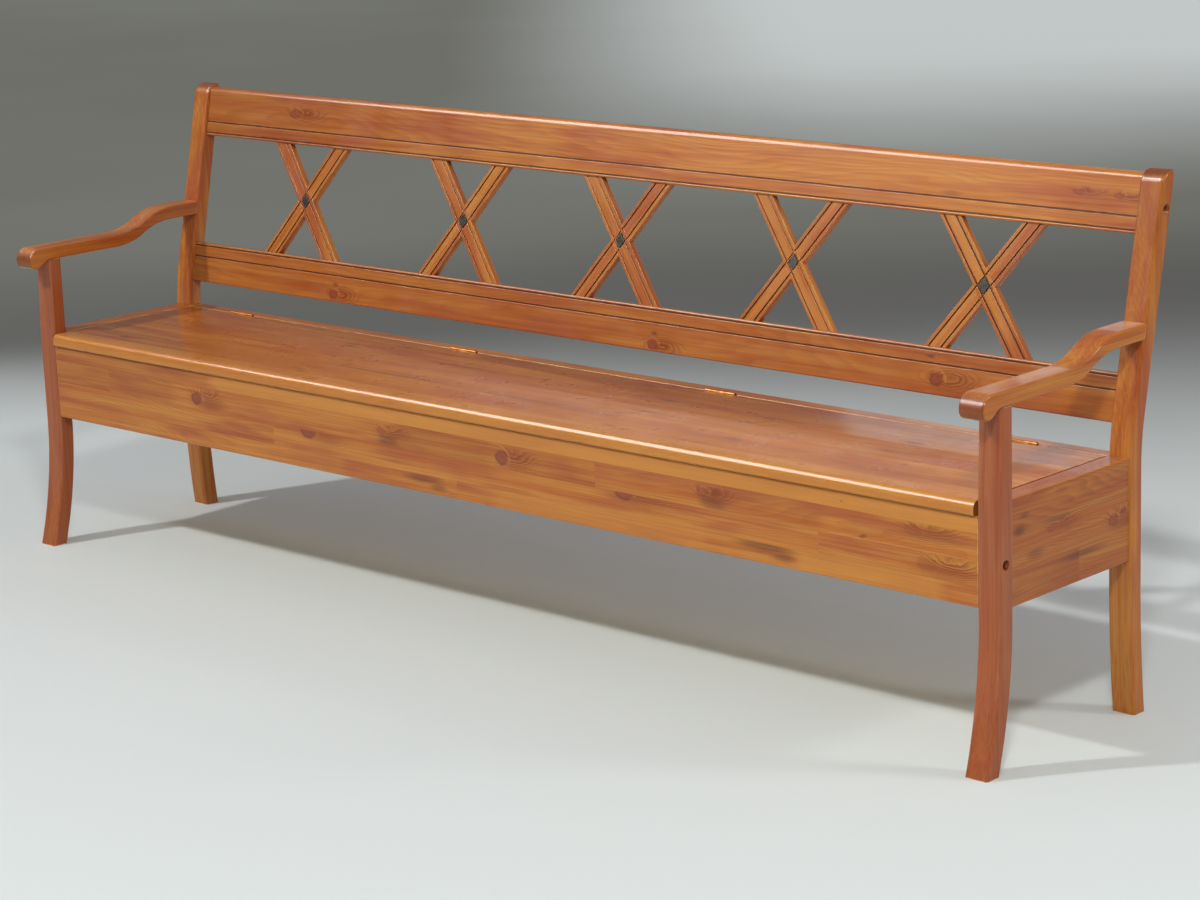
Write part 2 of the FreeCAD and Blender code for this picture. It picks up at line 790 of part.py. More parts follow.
def batten_screws():
    front, back = batten_ends()
    under = seat_under - given("batten_thickness")
    screws = []
    for x in batten_places():
        for share in (1 / 8, 1 / 2, 7 / 8):
            y = front + (back - front) * share
            screws.append((point(x, y, under), UPWARD, given("batten_screw_length")))
    return screws


def lid_batten(label, x):
    half = given("batten_width") / 2
    front, back = batten_ends()
    low = (x - half, front, seat_under - given("batten_thickness"))
    blank = board(label + "_shape", low, (x + half, back, seat_under))
    cutters = []
    for screw in batten_screws():
        if abs(screw[0].x - x.value) < half.value:
            cutters.append(wood_screw_hole(*screw))
    return finished(label, blank, cutters)


# Countersunk screws, each listed as (point at the head's face, direction, length)
def countersunk(start, direction, length, head, shank, extra=0.0):
    head_height = (float(head) - float(shank)) / 2
    cut = cone(float(head) + extra * 2, float(shank) + extra * 2, head_height, start, direction)
    return cut.fuse(rod(float(shank) + extra * 2, float(length) + extra, start, direction))


def wood_screw(start, direction, length):
    sunk = start + direction * given("wood_screw_sink").value
    return countersunk(sunk, direction, length, given("wood_screw_head"), given("wood_screw_diameter"))


def wood_screw_hole(start, direction, length):
    extra = glue_gap.value
    sink = given("wood_screw_sink")
    sunk = start + direction * sink.value
    hole = countersunk(sunk, direction, length, given("wood_screw_head"),
                       given("wood_screw_diameter"), extra)
    mouth = rod(given("wood_screw_head") + glue_gap * 2, sink + OVERCUT, start - direction * OVERCUT,
                direction)
    return hole.fuse(mouth)


def screw(start, direction, length):
    return countersunk(start, direction, length, given("screw_head_diameter"), given("screw_diameter"))


def screw_hole(start, direction, length):
    return countersunk(start, direction, length, given("screw_head_diameter"),
                       given("screw_diameter"), glue_gap.value)


# Hinges. side is 1 for what is fixed to the seat strip, and -1 for what moves with the lid.
def hinge_places():
    return spread(lid_half - given("hinge_from_end"), HINGES)


def leaf_face(side):
    """The face of the leaf that lies in the gap between lid and strip."""
    return hinge_line + side * given("hinge_gap") / 2


def hinge_housing(x, side):
    """The recess for one leaf, and the one that clears the barrel."""
    half = given("hinge_length").value / 2 + glue_gap.value
    thickness = given("leaf_thickness").value
    low = pin_height.value - given("leaf_height").value - glue_gap.value
    face = leaf_face(side).value
    inner = face + side * thickness
    outer = face - side * OVERCUT
    high = seat_top.value + OVERCUT
    leaf = box_between((x.value - half, inner, low), (x.value + half, outer, high))
    radius = given("knuckle_diameter").value / 2
    wall = hinge_line.value + side * (radius + given("barrel_room").value)
    floor = pin_height.value - radius - given("barrel_room_below").value
    barrel = box_between((x.value - half, wall, floor), (x.value + half, outer, high))
    return [leaf, barrel]


def box_between(first, second):
    low = [min(pair) for pair in zip(first, second)]
    high = [max(pair) for pair in zip(first, second)]
    spans = [end - start for start, end in zip(low, high)]
    return Part.makeBox(*spans, FreeCAD.Vector(*low))


def hinge_screws(x, side):
    reach = given("hinge_length") / 3
    height = pin_height - given("hinge_screw_drop")
    screws = []
    for shift in (-reach, as_size(0), reach):
        start = point(x + shift, leaf_face(side), height)
        screws.append((start, BACKWARD * side, given("screw_length")))
    return screws


def hinge_leaf(label, x, side):
    """The fixed leaf has the two outer knuckles, and the lid's leaf has the middle one."""
    third = given("hinge_length").value / 3
    play = given("knuckle_play").value
    start = x.value - given("hinge_length").value / 2
    if side > 0:
        knuckles = [(start, start + third), (start + 2 * third, start + 3 * third)]
    else:
        knuckles = [(start + third + play, start + 2 * third - play)]
    face = leaf_face(side).value
    back = face + side * given("leaf_thickness").value
    low = pin_height.value - given("leaf_height").value
    shoulder = pin_height.value - given("knuckle_diameter").value / 2 - given("neck_height").value
    leaf = box_between((start, face, low), (start + 3 * third, back, shoulder))
    for first, last in knuckles:
        neck = box_between((first, face, shoulder), (last, back, pin_height.value))
        barrel = rod(given("knuckle_diameter"), last - first, point(first, hinge_line, pin_height), ALONG)
        leaf = leaf.fuse([neck, barrel])
    bore = rod(given("pin_diameter") + given("pin_play") * 2, 3 * third + 2 * OVERCUT,
               point(start - OVERCUT, hinge_line, pin_height), ALONG)
    holes = [screw_hole(*item) for item in hinge_screws(x, side)]
    piece = document.addObject("Part::Feature", label)
    piece.Shape = leaf.cut([bore] + holes).removeSplitter()
    piece.Label = label
    return piece


def hinge_pin(label, x):
    pin = document.addObject("Part::Cylinder", label)
    pin.Label = label
    bind(pin, "Radius", given("pin_diameter") / 2)
    bind(pin, "Height", given("hinge_length"))
    place(pin, x - given("hinge_length") / 2, hinge_line, pin_height, BACKWARD, as_size(90))
    return pin


# Chest bottom and the strips that carry it
def bottom_panel():
    low = (-leg_inner, front_board_back, bottom_under)
    high = (leg_inner, rear_board_front, bottom_under + given("bottom_thickness"))
    return board("chest_bottom", low, high)


def cleat_rows():
    """Name, low corner and high corner of each strip under the chest bottom."""
    width = given("cleat_width")
    top = bottom_under
    low = top - given("cleat_height")
    half = given("bearer_width") / 2
    inner_front = front_board_back + width
    inner_back = rear_board_front - width
    return [
        ("front_cleat", (-leg_inner, front_board_back, low), (leg_inner, inner_front, top)),
        ("rear_cleat", (-leg_inner, inner_back, low), (leg_inner, rear_board_front, top)),
        ("left_cleat", (-leg_inner, inner_front, low), (-leg_inner + width, inner_back, top)),
        ("right_cleat", (leg_inner - width, inner_front, low), (leg_inner, inner_back, top)),
        ("middle_bearer", (-half, inner_front, low), (half, inner_back, top)),
    ]


def cleat_screws(name):
    """Screws through the front and rear cleats into their boards."""
    height = bottom_under - given("cleat_height") / 2
    screws = []
    for x in spread(leg_inner - given("cleat_screw_from_end"), CLEAT_SCREWS):
        if name == "front_cleat":
            start = point(x, front_board_back + given("cleat_width"), height)
            screws.append((start, -BACKWARD, given("cleat_screw_length")))
        else:
            start = point(x, rear_board_front - given("cleat_width"), height)
            screws.append((start, BACKWARD, given("cleat_screw_length")))
    return screws


# Rails of the back, drawn upright with their faces at zero depth, then leaned
def rail_grooves(base, direction):
    """Where the two grooves start and end, from the moulded edge at base."""
    width = given("groove_width")
    places = []
    for distance in (given("edge_groove"), given("inner_groove")):
        near = base + direction * (distance - width / 2)
        far = base + direction * (distance + width / 2)
        places.append((near, far))
    return places


def rail(label, low, high, moulded_edge, top_round):
    body = new_body(label + "_shape")
    front = rail_front
    back = rail_front + rail_thickness
    depth = given("groove_depth")
    small = given("board_round")
    grooves = []
    if moulded_edge == "high":
        for near, far in rail_grooves(high, -1):
            grooves += [line_to(front, near), line_to(front + depth, near),
                        line_to(front + depth, far), line_to(front, far)]
    else:
        for near, far in reversed(rail_grooves(low, 1)):
            grooves += [line_to(front, far), line_to(front + depth, far),
                        line_to(front + depth, near), line_to(front, near)]
    # the last arc ends where the first line starts
    steps = [
        line_to(back, low),
        line_to(back, high),
        line_to(front + top_round, high),
        arc_to(front, high - top_round, top_round, 1),
        *grooves,
        line_to(front, low + small),
        arc_to(front + small, low, small, 1),
    ]
    pad(body, outline(body, "YZ_Plane", steps), leg_inner * 2)
    # mortises for the ends of the cross strips
    for x in crossing_places():
        for direction in (-1, 1):
            if moulded_edge == "high":
                start, end = high - given("strip_tenon"), high + OVERCUT
            else:
                start, end = low - OVERCUT, low + given("strip_tenon")
            steps = slanted_band(x, direction, given("strip_width"), start, end)
            sketch = outline(body, "XZ_Plane", steps, -(rail_front + given("strip_setback")))
            pocket(body, sketch, given("strip_thickness"))
    lean(body)
    return body


def crossing_places():
    """The crossing centres, from left to right. The first two are further apart than the others."""
    first = given("left_cross_space") - leg_inner
    last = leg_inner - given("right_cross_space")
    pitch = (last - first - given("wide_gap_extra")) / (CROSSINGS - 1)
    places = [first]
    for number in range(CROSSINGS - 1):
        places.append(last - pitch * (CROSSINGS - 2 - number))
    return places


# Cross strips
crossing_rise = (lower_rail_high + top_rail_low) / 2
cross_angle = given("cross_angle")


def slanted_band(x, direction, width, low, high, shift=None):
    """A band that leans left (-1) or right (1), between two rises. Shift moves it sideways."""
    half = width / cosine(cross_angle) / 2
    middle = x if shift is None else x + shift / cosine(cross_angle)
    low_x = middle + direction * tangent(cross_angle) * (low - crossing_rise)
    high_x = middle + direction * tangent(cross_angle) * (high - crossing_rise)
    return [line_to(low_x - half, low), line_to(low_x + half, low),
            line_to(high_x + half, high), line_to(high_x - half, high)]


def groove_shift():
    return given("strip_width") / 2 - given("strip_bead") - given("groove_width") / 2


def diamond_steps(x):
    """The space between the grooves of both strips at a crossing."""
    half = given("strip_width") / 2 - given("strip_bead") - given("groove_width")
    wide = half / cosine(cross_angle)
    tall = half / sine(cross_angle)
    return [line_to(x + wide, crossing_rise), line_to(x, crossing_rise + tall),
            line_to(x - wide, crossing_rise), line_to(x, crossing_rise - tall)]


def cross_strip(label, x, direction):
    """The strip that leans left lies in front where the two are halved together."""
    body = new_body(label)
    face = rail_front + given("strip_setback")
    thickness = given("strip_thickness")
    low = lower_rail_high - given("strip_tenon")
    high = top_rail_low + given("strip_tenon")
    steps = slanted_band(x, direction, given("strip_width"), low, high)
    pad(body, outline(body, "XZ_Plane", steps, -face), thickness, False, True)
    for shift in (-groove_shift(), groove_shift()):
        steps = slanted_band(x, direction, given("groove_width"), low - OVERCUT, high + OVERCUT, shift)
        pocket(body, outline(body, "XZ_Plane", steps, -face), given("groove_depth"))
    reach = given("strip_width") / sine(cross_angle)
    start, end = crossing_rise - reach, crossing_rise + reach
    in_front = direction < 0
    lap = outline(body, "XZ_Plane", slanted_band(x, -direction, given("strip_width"), start, end),
                  -(face + thickness / 2) if in_front else -face)
    pocket(body, lap, thickness / 2)
    if in_front:
        for shift in (-groove_shift(), groove_shift()):
            steps = slanted_band(x, -direction, given("groove_width"), start, end, shift)
            pocket(body, outline(body, "XZ_Plane", steps, -face), given("groove_depth"))
        pocket(body, outline(body, "XZ_Plane", diamond_steps(x), -face), given("diamond_thickness"))
    lean(body)
    return body


def diamond(label, x):
    body = new_body(label)
    face = rail_front + given("strip_setback")
    sketch = outline(body, "XZ_Plane", diamond_steps(x), -face)
    pad(body, sketch, given("diamond_thickness"), False, True)
    lean(body)
    return body


# The pieces
pieces = []
for side_name, side in SIDES.items():
    pieces.append(front_leg(side_name + "_front_leg", side))
    pieces.append(rear_post(side_name + "_rear_post", side))
    pieces.append(armrest(side_name + "_armrest", side))
    pieces.append(end_board(side_name + "_end_board", side))
pieces += [front_board(), rear_board(), seat_strip(), seat_lid(), bottom_panel()]

for name, low, high in cleat_rows():
    if name in ("front_cleat", "rear_cleat"):
        blank = board(name + "_shape", low, high)
        pieces.append(finished(name, blank, [wood_screw_hole(*item) for item in cleat_screws(name)]))
    else:
        pieces.append(board(name, low, high))

for number, x in enumerate(batten_places(), start=1):
    pieces.append(lid_batten(f"lid_batten_{number}", x))

top_blank = rail("top_rail", top_rail_low, top_rail_high, "low", given("top_rail_round"))
lower_blank = rail("lower_rail", lower_rail_low, lower_rail_high, "high", given("board_round"))
top_cutters = []
lower_cutters = []
for side in SIDES.values():
    y, z, into = bolt_places(side)[1]
    top_cutters += bolt_holes(y, z, side)[1:]
    top_cutters.append(nut_hole(y, z, side, into, rail_thickness))
    lower_cutters += [dowel_hole(*joint) for joint in rail_dowels(side)[:2]]
    top_cutters += [dowel_hole(*joint) for joint in rail_dowels(side)[2:]]
pieces.append(finished("top_rail", top_blank, top_cutters))
pieces.append(finished("lower_rail", lower_blank, lower_cutters))

for number, x in enumerate(crossing_places(), start=1):
    pieces.append(cross_strip(f"cross_{number}_front_strip", x, -1))
    pieces.append(cross_strip(f"cross_{number}_rear_strip", x, 1))
    pieces.append(diamond(f"cross_{number}_diamond", x))

for number, x in enumerate(hinge_places(), start=1):
    pieces.append(hinge_leaf(f"hinge_{number}_fixed_leaf", x, 1))
    pieces.append(hinge_leaf(f"hinge_{number}_lid_leaf", x, -1))
    pieces.append(hinge_pin(f"hinge_{number}_pin", x))

fixed_screws = [screw(*item) for x in hinge_places() for item in hinge_screws(x, 1)]
lid_screws = [screw(*item) for x in hinge_places() for item in hinge_screws(x, -1)]
pieces.append(fasteners("hinge_strip_screws", fixed_screws))
pieces.append(fasteners("hinge_lid_screws", lid_screws))
pieces.append(fasteners("batten_screws", [wood_screw(*item) for item in batten_screws()]))
cleat_items = cleat_screws("front_cleat") + cleat_screws("rear_cleat")
pieces.append(fasteners("cleat_screws", [wood_screw(*item) for item in cleat_items]))

bolts = []
nuts = []
frame_joints = strip_dowels()
for side in SIDES.values():
    for y, z, into in bolt_places(side):
        bolts.append(bolt(y, z, side))
        nuts.append(barrel_nut(y, z, side, into))
    frame_joints += side_board_dowels(side) + chest_dowels(side)
    frame_joints += rail_dowels(side) + arm_dowels(side)
pieces.append(fasteners("connector_bolts", bolts))
pieces.append(fasteners("barrel_nuts", nuts))
pieces.append(fasteners("dowels", [dowel(*joint) for joint in frame_joints]))

document.recompute()


# Checks, then one file for each piece
def check_document():
    for item in document.Objects:
        if "Invalid" in item.State or "Error" in item.State:
            raise RuntimeError(f"{item.Label} failed: {item.State}")
    for piece in pieces:
        if piece.Shape.isNull() or not piece.Shape.isValid() or not piece.Shape.Solids:
            raise RuntimeError(piece.Label + " has no valid solid")


check_document()
os.makedirs("parts", exist_ok=True)
for piece in pieces:
    piece.Shape.exportStep(os.path.join("parts", piece.Label + ".step"))
print(len(pieces), "pieces written")
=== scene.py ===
import math

import bmesh
import bpy
from mathutils import Matrix, Vector


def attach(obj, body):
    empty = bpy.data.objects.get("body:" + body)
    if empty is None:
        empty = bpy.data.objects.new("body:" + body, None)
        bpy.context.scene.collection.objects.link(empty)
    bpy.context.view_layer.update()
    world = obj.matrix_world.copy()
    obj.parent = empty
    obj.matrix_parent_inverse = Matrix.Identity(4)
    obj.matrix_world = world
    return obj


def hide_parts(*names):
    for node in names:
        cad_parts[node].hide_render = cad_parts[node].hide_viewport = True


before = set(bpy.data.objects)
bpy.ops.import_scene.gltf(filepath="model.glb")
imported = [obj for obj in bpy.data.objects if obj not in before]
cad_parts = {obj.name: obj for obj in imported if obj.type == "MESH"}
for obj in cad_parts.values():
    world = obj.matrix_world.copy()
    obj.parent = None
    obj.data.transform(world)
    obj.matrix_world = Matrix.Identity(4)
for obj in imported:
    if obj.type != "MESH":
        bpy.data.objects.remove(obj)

scene = bpy.context.scene
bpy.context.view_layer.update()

# Camera, at the photograph's viewing angle. Angles are in degrees and lengths in metres.
CAMERA_TURN = 43.303
CAMERA_RISE = 13.687
CAMERA_ROLL = -2.039
CAMERA_DISTANCE = 5.9585
CAMERA_AIM = Vector((0.0501, 0.1131, 0.3036))
SENSOR_WIDTH = 36.0
LENS = 94.464

# Places on the bench, in metres
SEAT_TOP = 0.446
BOARD_FACE = -0.219
RAKE = math.radians(12)
BEND = Vector((0, 0.143, 0.475))
LEAN_UP = Vector((0, math.sin(RAKE), math.cos(RAKE)))
LEAN_IN = Vector((0, math.cos(RAKE), -math.sin(RAKE)))
RAIL_FACE = 0.007
STRIP_FACE = 0.011
LOWER_RAIL_TOP = 0.109
TOP_RAIL_FOOT = 0.338
RAIL_GROOVES = (0.006, 0.029)
STRIP_GROOVE = 0.0105
CHEST_BOTTOM = 0.290
PLY_LAYERS_PER_METRE = 333.0
CROSS_ANGLE = math.radians(37.5)
CROSSINGS = (-0.845, -0.382, 0.039, 0.460, 0.881)
CROSSING_RISE = 0.2235
STRIP_REACH = 0.2

# A face lies in a groove if its middle is this deep, and this near the groove's middle.
GROOVE_DEPTHS = (0.0003, 0.0021)
NEAR_RAIL_GROOVE = 0.0016
NEAR_STRIP_GROOVE = 0.0017

# Finish of the arrises
ARRIS = 0.0012
FINE_ARRIS = 0.0007
METAL_ARRIS = 0.0002
FLAT_LIMIT = math.radians(0.5)
SHARP = math.radians(62)
SHORT = 0.008
SMOOTH_LIMIT = math.radians(42)
WELD = 1e-6


def srgb(red, green, blue):
    """A colour given as it looks on a screen, 0 to 255, as the linear numbers that nodes use."""
    steps = [channel / 255 for channel in (red, green, blue)]
    return tuple(((s + 0.055) / 1.055) ** 2.4 if s > 0.04045 else s / 12.92 for s in steps)


# Camera, lights and floor
def add_camera():
    turn = math.radians(CAMERA_TURN)
    rise = math.radians(CAMERA_RISE)
    roll = math.radians(CAMERA_ROLL)
    back = Vector((math.sin(turn) * math.cos(rise), -math.cos(turn) * math.cos(rise), math.sin(rise)))
    right = (-back).cross(Vector((0, 0, 1))).normalized()
    up = right.cross(-back)
    rolled_right = right * math.cos(roll) + up * math.sin(roll)
    rolled_up = up * math.cos(roll) - right * math.sin(roll)
    data = bpy.data.cameras.new("photo_camera")
    data.lens = LENS
    data.sensor_width = SENSOR_WIDTH
    camera = bpy.data.objects.new("photo_camera", data)
    matrix = Matrix((rolled_right, rolled_up, back)).transposed().to_4x4()
    matrix.translation = CAMERA_AIM + back * CAMERA_DISTANCE
    camera.matrix_world = matrix
    scene.collection.objects.link(camera)
    scene.camera = camera


def softbox(name, place, aim, size, power, colour=(1, 1, 1), sheen_only=False):
    """A soft lamp. One for sheen only shows in the varnish and lights nothing else."""
    data = bpy.data.lights.new(name, "AREA")
    data.shape = "RECTANGLE"
    data.size, data.size_y = size
    data.energy = power
    data.color = colour
    lamp = bpy.data.objects.new(name, data)
    lamp.location = place
    lamp.rotation_euler = (Vector(aim) - Vector(place)).to_track_quat("-Z", "Y").to_euler()
    lamp.visible_camera = False
    lamp.visible_diffuse = not sheen_only
    scene.collection.objects.link(lamp)


def soft_world(low, high):
    """Even light from above, and a darker room near the horizon."""
    world = bpy.data.worlds.new("soft_room")
    world.use_nodes = True
    graph = Graph(world.node_tree)
    way = graph.node("ShaderNodeTexCoord", {}).outputs["Generated"]
    rise = graph.fade(graph.parts(way)[2], 0.05, 0.75, low, high)
    background = world.node_tree.nodes["Background"]
    graph.put(background.inputs["Strength"], rise)
    background.inputs["Color"].default_value = (*srgb(253, 248, 255), 1)
    scene.world = world


# Nodes
class Graph:
    """Makes shader nodes in one tree, and hands back the sockets that come out of them."""

    def __init__(self, tree):
        self.tree = tree

    def put(self, socket, value):
        if isinstance(value, bpy.types.NodeSocket):
            self.tree.links.new(value, socket)
        else:
            socket.default_value = value

    def node(self, kind, inputs, **settings):
        made = self.tree.nodes.new(kind)
        for name, value in settings.items():
            setattr(made, name, value)
        for name, value in inputs.items():
            self.put(made.inputs[name], value)
        return made

    def math(self, operation, first, second=0.0, clamp=False):
        made = self.node("ShaderNodeMath", {0: first, 1: second}, operation=operation, use_clamp=clamp)
        return made.outputs[0]

    def add(self, first, second):
        return self.math("ADD", first, second)

    def subtract(self, first, second):
        return self.math("SUBTRACT", first, second)

    def times(self, first, second, clamp=False):
        return self.math("MULTIPLY", first, second, clamp)

    def vector(self, operation, first, second=(0.0, 0.0, 0.0)):
        made = self.node("ShaderNodeVectorMath", {0: first, 1: second}, operation=operation)
        return made.outputs["Value" if operation in ("LENGTH", "DOT_PRODUCT") else "Vector"]

    def parts(self, vector):
        made = self.node("ShaderNodeSeparateXYZ", {0: vector})
        return made.outputs[0], made.outputs[1], made.outputs[2]

    def joined(self, x, y, z):
        return self.node("ShaderNodeCombineXYZ", {0: x, 1: y, 2: z}).outputs[0]

    def noise(self, vector, scale, detail=2.0, roughness=0.5):
        inputs = {"Vector": vector, "Scale": scale, "Detail": detail, "Roughness": roughness}
        return self.node("ShaderNodeTexNoise", inputs).outputs[0]

    def fade(self, value, start, end, low=0.0, high=1.0):
        """Goes smoothly from low, where value is start, to high, where it is end."""
        inputs = {0: value, 1: start, 2: end, 3: low, 4: high}
        made = self.node("ShaderNodeMapRange", inputs, interpolation_type="SMOOTHSTEP")
        return made.outputs[0]

    def mix(self, factor, first, second):
        made = self.tree.nodes.new("ShaderNodeMix")
        made.data_type = "RGBA"
        self.put(made.inputs[0], factor)
        for socket, value in ((made.inputs[6], first), (made.inputs[7], second)):
            self.put(socket, value if isinstance(value, bpy.types.NodeSocket) else (*value, 1))
        return made.outputs[2]


def new_material(name):
    material = bpy.data.materials.new(name)
    material.use_nodes = True
    return material, Graph(material.node_tree), material.node_tree.nodes["Principled BSDF"]


def board_axes(along, up):
    """A turn that takes an object's directions to a board's: along its grain, up its face, out."""
    along = Vector(along).normalized()
    up = Vector(up)
    up = (up - along * up.dot(along)).normalized()
    return Matrix((along, up, along.cross(up)))


def board_place(graph, turn, origin):
    where = graph.node("ShaderNodeTexCoord", {}).outputs["Object"]
    shift = -(turn @ Vector(origin))
    inputs = {"Vector": where, "Location": tuple(shift), "Rotation": tuple(turn.to_euler())}
    return graph.node("ShaderNodeMapping", inputs, vector_type="POINT").outputs[0]


# Pine, stained and varnished
GOLDEN = srgb(208, 140, 58)
AMBER = srgb(188, 103, 34)
BROWN = srgb(134, 60, 16)
# The legs' pink colours are wood with a painted varnish sheen mixed in.
PINK_SHEEN_LIGHT = srgb(186, 112, 66)
PINK_SHEEN = srgb(158, 82, 48)
ROSE = srgb(170, 84, 42)
KNOT = srgb(150, 66, 42)
KNOT_EDGE = srgb(92, 36, 18)
KNOT_LIGHT = srgb(214, 150, 90)
DARK = srgb(88, 38, 18)
# wear and a painted highlight for the arrises
WORN_AND_HIGHLIT = srgb(222, 164, 104)
# painted shade for the grooves
PAINTED_GROOVE_SHADE = srgb(92, 42, 20)
END_GRAIN = srgb(112, 50, 24)

RING = 0.0042


def within(graph, height, low, high, values):
    """The values, where the height lies between low and high, and nothing elsewhere."""
    if high <= low:
        return values
    row = graph.times(graph.math("GREATER_THAN", height, low),
                      graph.math("LESS_THAN", height, high))
    return [graph.times(value, row) for value in values]


def knot_field(graph, place, knots):
    """Knots: how much each point is heart, dark edge and light edge, how far the growth rings
    bend, and how plainly they show."""
    heart, edge, light, bend, near = 0.0, 0.0, 0.0, 0.0, 0.0
    uneven = graph.node("ShaderNodeTexNoise", {"Vector": place, "Scale": 55.0, "Detail": 3.0})
    shift = graph.vector("SUBTRACT", uneven.outputs["Color"], (0.5, 0.5, 0.5))
    wavy = graph.vector("ADD", place, graph.vector("MULTIPLY", shift, (0.014, 0.010, 0)))
    height = graph.parts(place)[1]
    for x, y, across, stretch, low, high, strength in knots:
        away = graph.vector("SUBTRACT", wavy, (x, y, 0))
        scaled = graph.vector("MULTIPLY", away, (1 / (across * stretch), 1 / across, 0))
        reach = graph.vector("LENGTH", scaled)
        over = graph.add(graph.parts(scaled)[0], graph.parts(scaled)[1])
        ring = graph.fade(graph.math("ABSOLUTE", graph.subtract(reach, 0.95)), 0.34, 0.0)
        inside = graph.fade(reach, 1.15, 0.70, 0.0, strength)
        dark = graph.times(ring, graph.fade(over, 1.1, -0.6, 0.15 * strength, strength))
        pale = graph.fade(graph.math("ABSOLUTE", graph.subtract(reach, 1.35)), 0.30, 0.0)
        pale = graph.times(pale, graph.fade(over, 0.4, 1.6, 0.0, strength))
        beside = graph.vector("SUBTRACT", away, (across * stretch * 2.2, 0, 0))
        wide = graph.vector("MULTIPLY", beside, (1 / (across * stretch * 4.6), 1 / (across * 2.2), 0))
        pull = graph.fade(graph.vector("LENGTH", wide), 1.15, 0.1)
        inside, dark, pale, pull = within(graph, height, low, high, [inside, dark, pale, pull])
        heart = graph.math("MAXIMUM", inside, heart)
        edge = graph.math("MAXIMUM", dark, edge)
        light = graph.math("MAXIMUM", pale, light)
        near = graph.math("MAXIMUM", pull, near)
        bend = graph.add(graph.times(pull, across * 1.5), bend)
    return heart, edge, light, bend, near


def streak_field(graph, place, streaks):
    """Short dark streaks, soft at their ends."""
    dark = 0.0
    drawn_out = graph.vector("MULTIPLY", place, (14.0, 90.0, 90.0))
    ragged = graph.node("ShaderNodeTexNoise", {"Vector": drawn_out, "Scale": 1.0, "Detail": 3.0})
    shift = graph.vector("SUBTRACT", ragged.outputs["Color"], (0.5, 0.5, 0.5))
    wavy = graph.vector("ADD", place, graph.vector("MULTIPLY", shift, (0.030, 0.0035, 0)))
    height = graph.parts(place)[1]
    for x, y, across, stretch, low, high, strength in streaks:
        away = graph.vector("SUBTRACT", wavy, (x, y, 0))
        scaled = graph.vector("MULTIPLY", away, (1 / (across * stretch), 1 / across, 0))
        inside = graph.fade(graph.vector("LENGTH", scaled), 1.40, 0.30, 0.0, strength)
        inside = within(graph, height, low, high, [inside])[0]
        dark = graph.math("MAXIMUM", inside, dark)
    return dark


def painted_light_drift_field(graph, x, painted_light_drift):
    """Painted light and shade: a tone that changes gently along the board, from each place in the list
    to the next.
    """
    tone = painted_light_drift[0][1]
    for (start, first), (end, last) in zip(painted_light_drift, painted_light_drift[1:]):
        tone = graph.add(graph.fade(x, start, end, 0.0, last - first), tone)
    return tone


def stave_field(graph, place, edges, length, blocks, spread):
    """Glued-up staves: a number for each stave, the line of glue between them, and a tone."""
    x, y, _ = graph.parts(place)
    row, glue, chance, tone = 0.0, 0.0, 0.5, 0.0
    for edge in edges:
        row = graph.add(graph.math("GREATER_THAN", y, edge), row)
        near = graph.fade(graph.math("ABSOLUTE", graph.subtract(y, edge)), 0.0010, 0.0003)
        glue = graph.math("MAXIMUM", near, glue)
    if edges:
        run = graph.add(graph.math("DIVIDE", x, length), graph.times(row, 0.371))
        number = graph.math("FLOOR", run)
        inputs = {"Vector": graph.joined(row, number, 0.0)}
        chance = graph.node("ShaderNodeTexWhiteNoise", inputs, noise_dimensions="3D").outputs["Value"]
        tone = graph.times(graph.subtract(chance, 0.5), spread)
    for left, right, low, high, shade in blocks:
        along = graph.times(graph.fade(x, left - 0.02, left + 0.02),
                            graph.fade(x, right + 0.02, right - 0.02))
        across = graph.times(graph.math("GREATER_THAN", y, low), graph.math("LESS_THAN", y, high))
        tone = graph.add(graph.times(graph.times(along, across), shade), tone)
    return chance, glue, tone


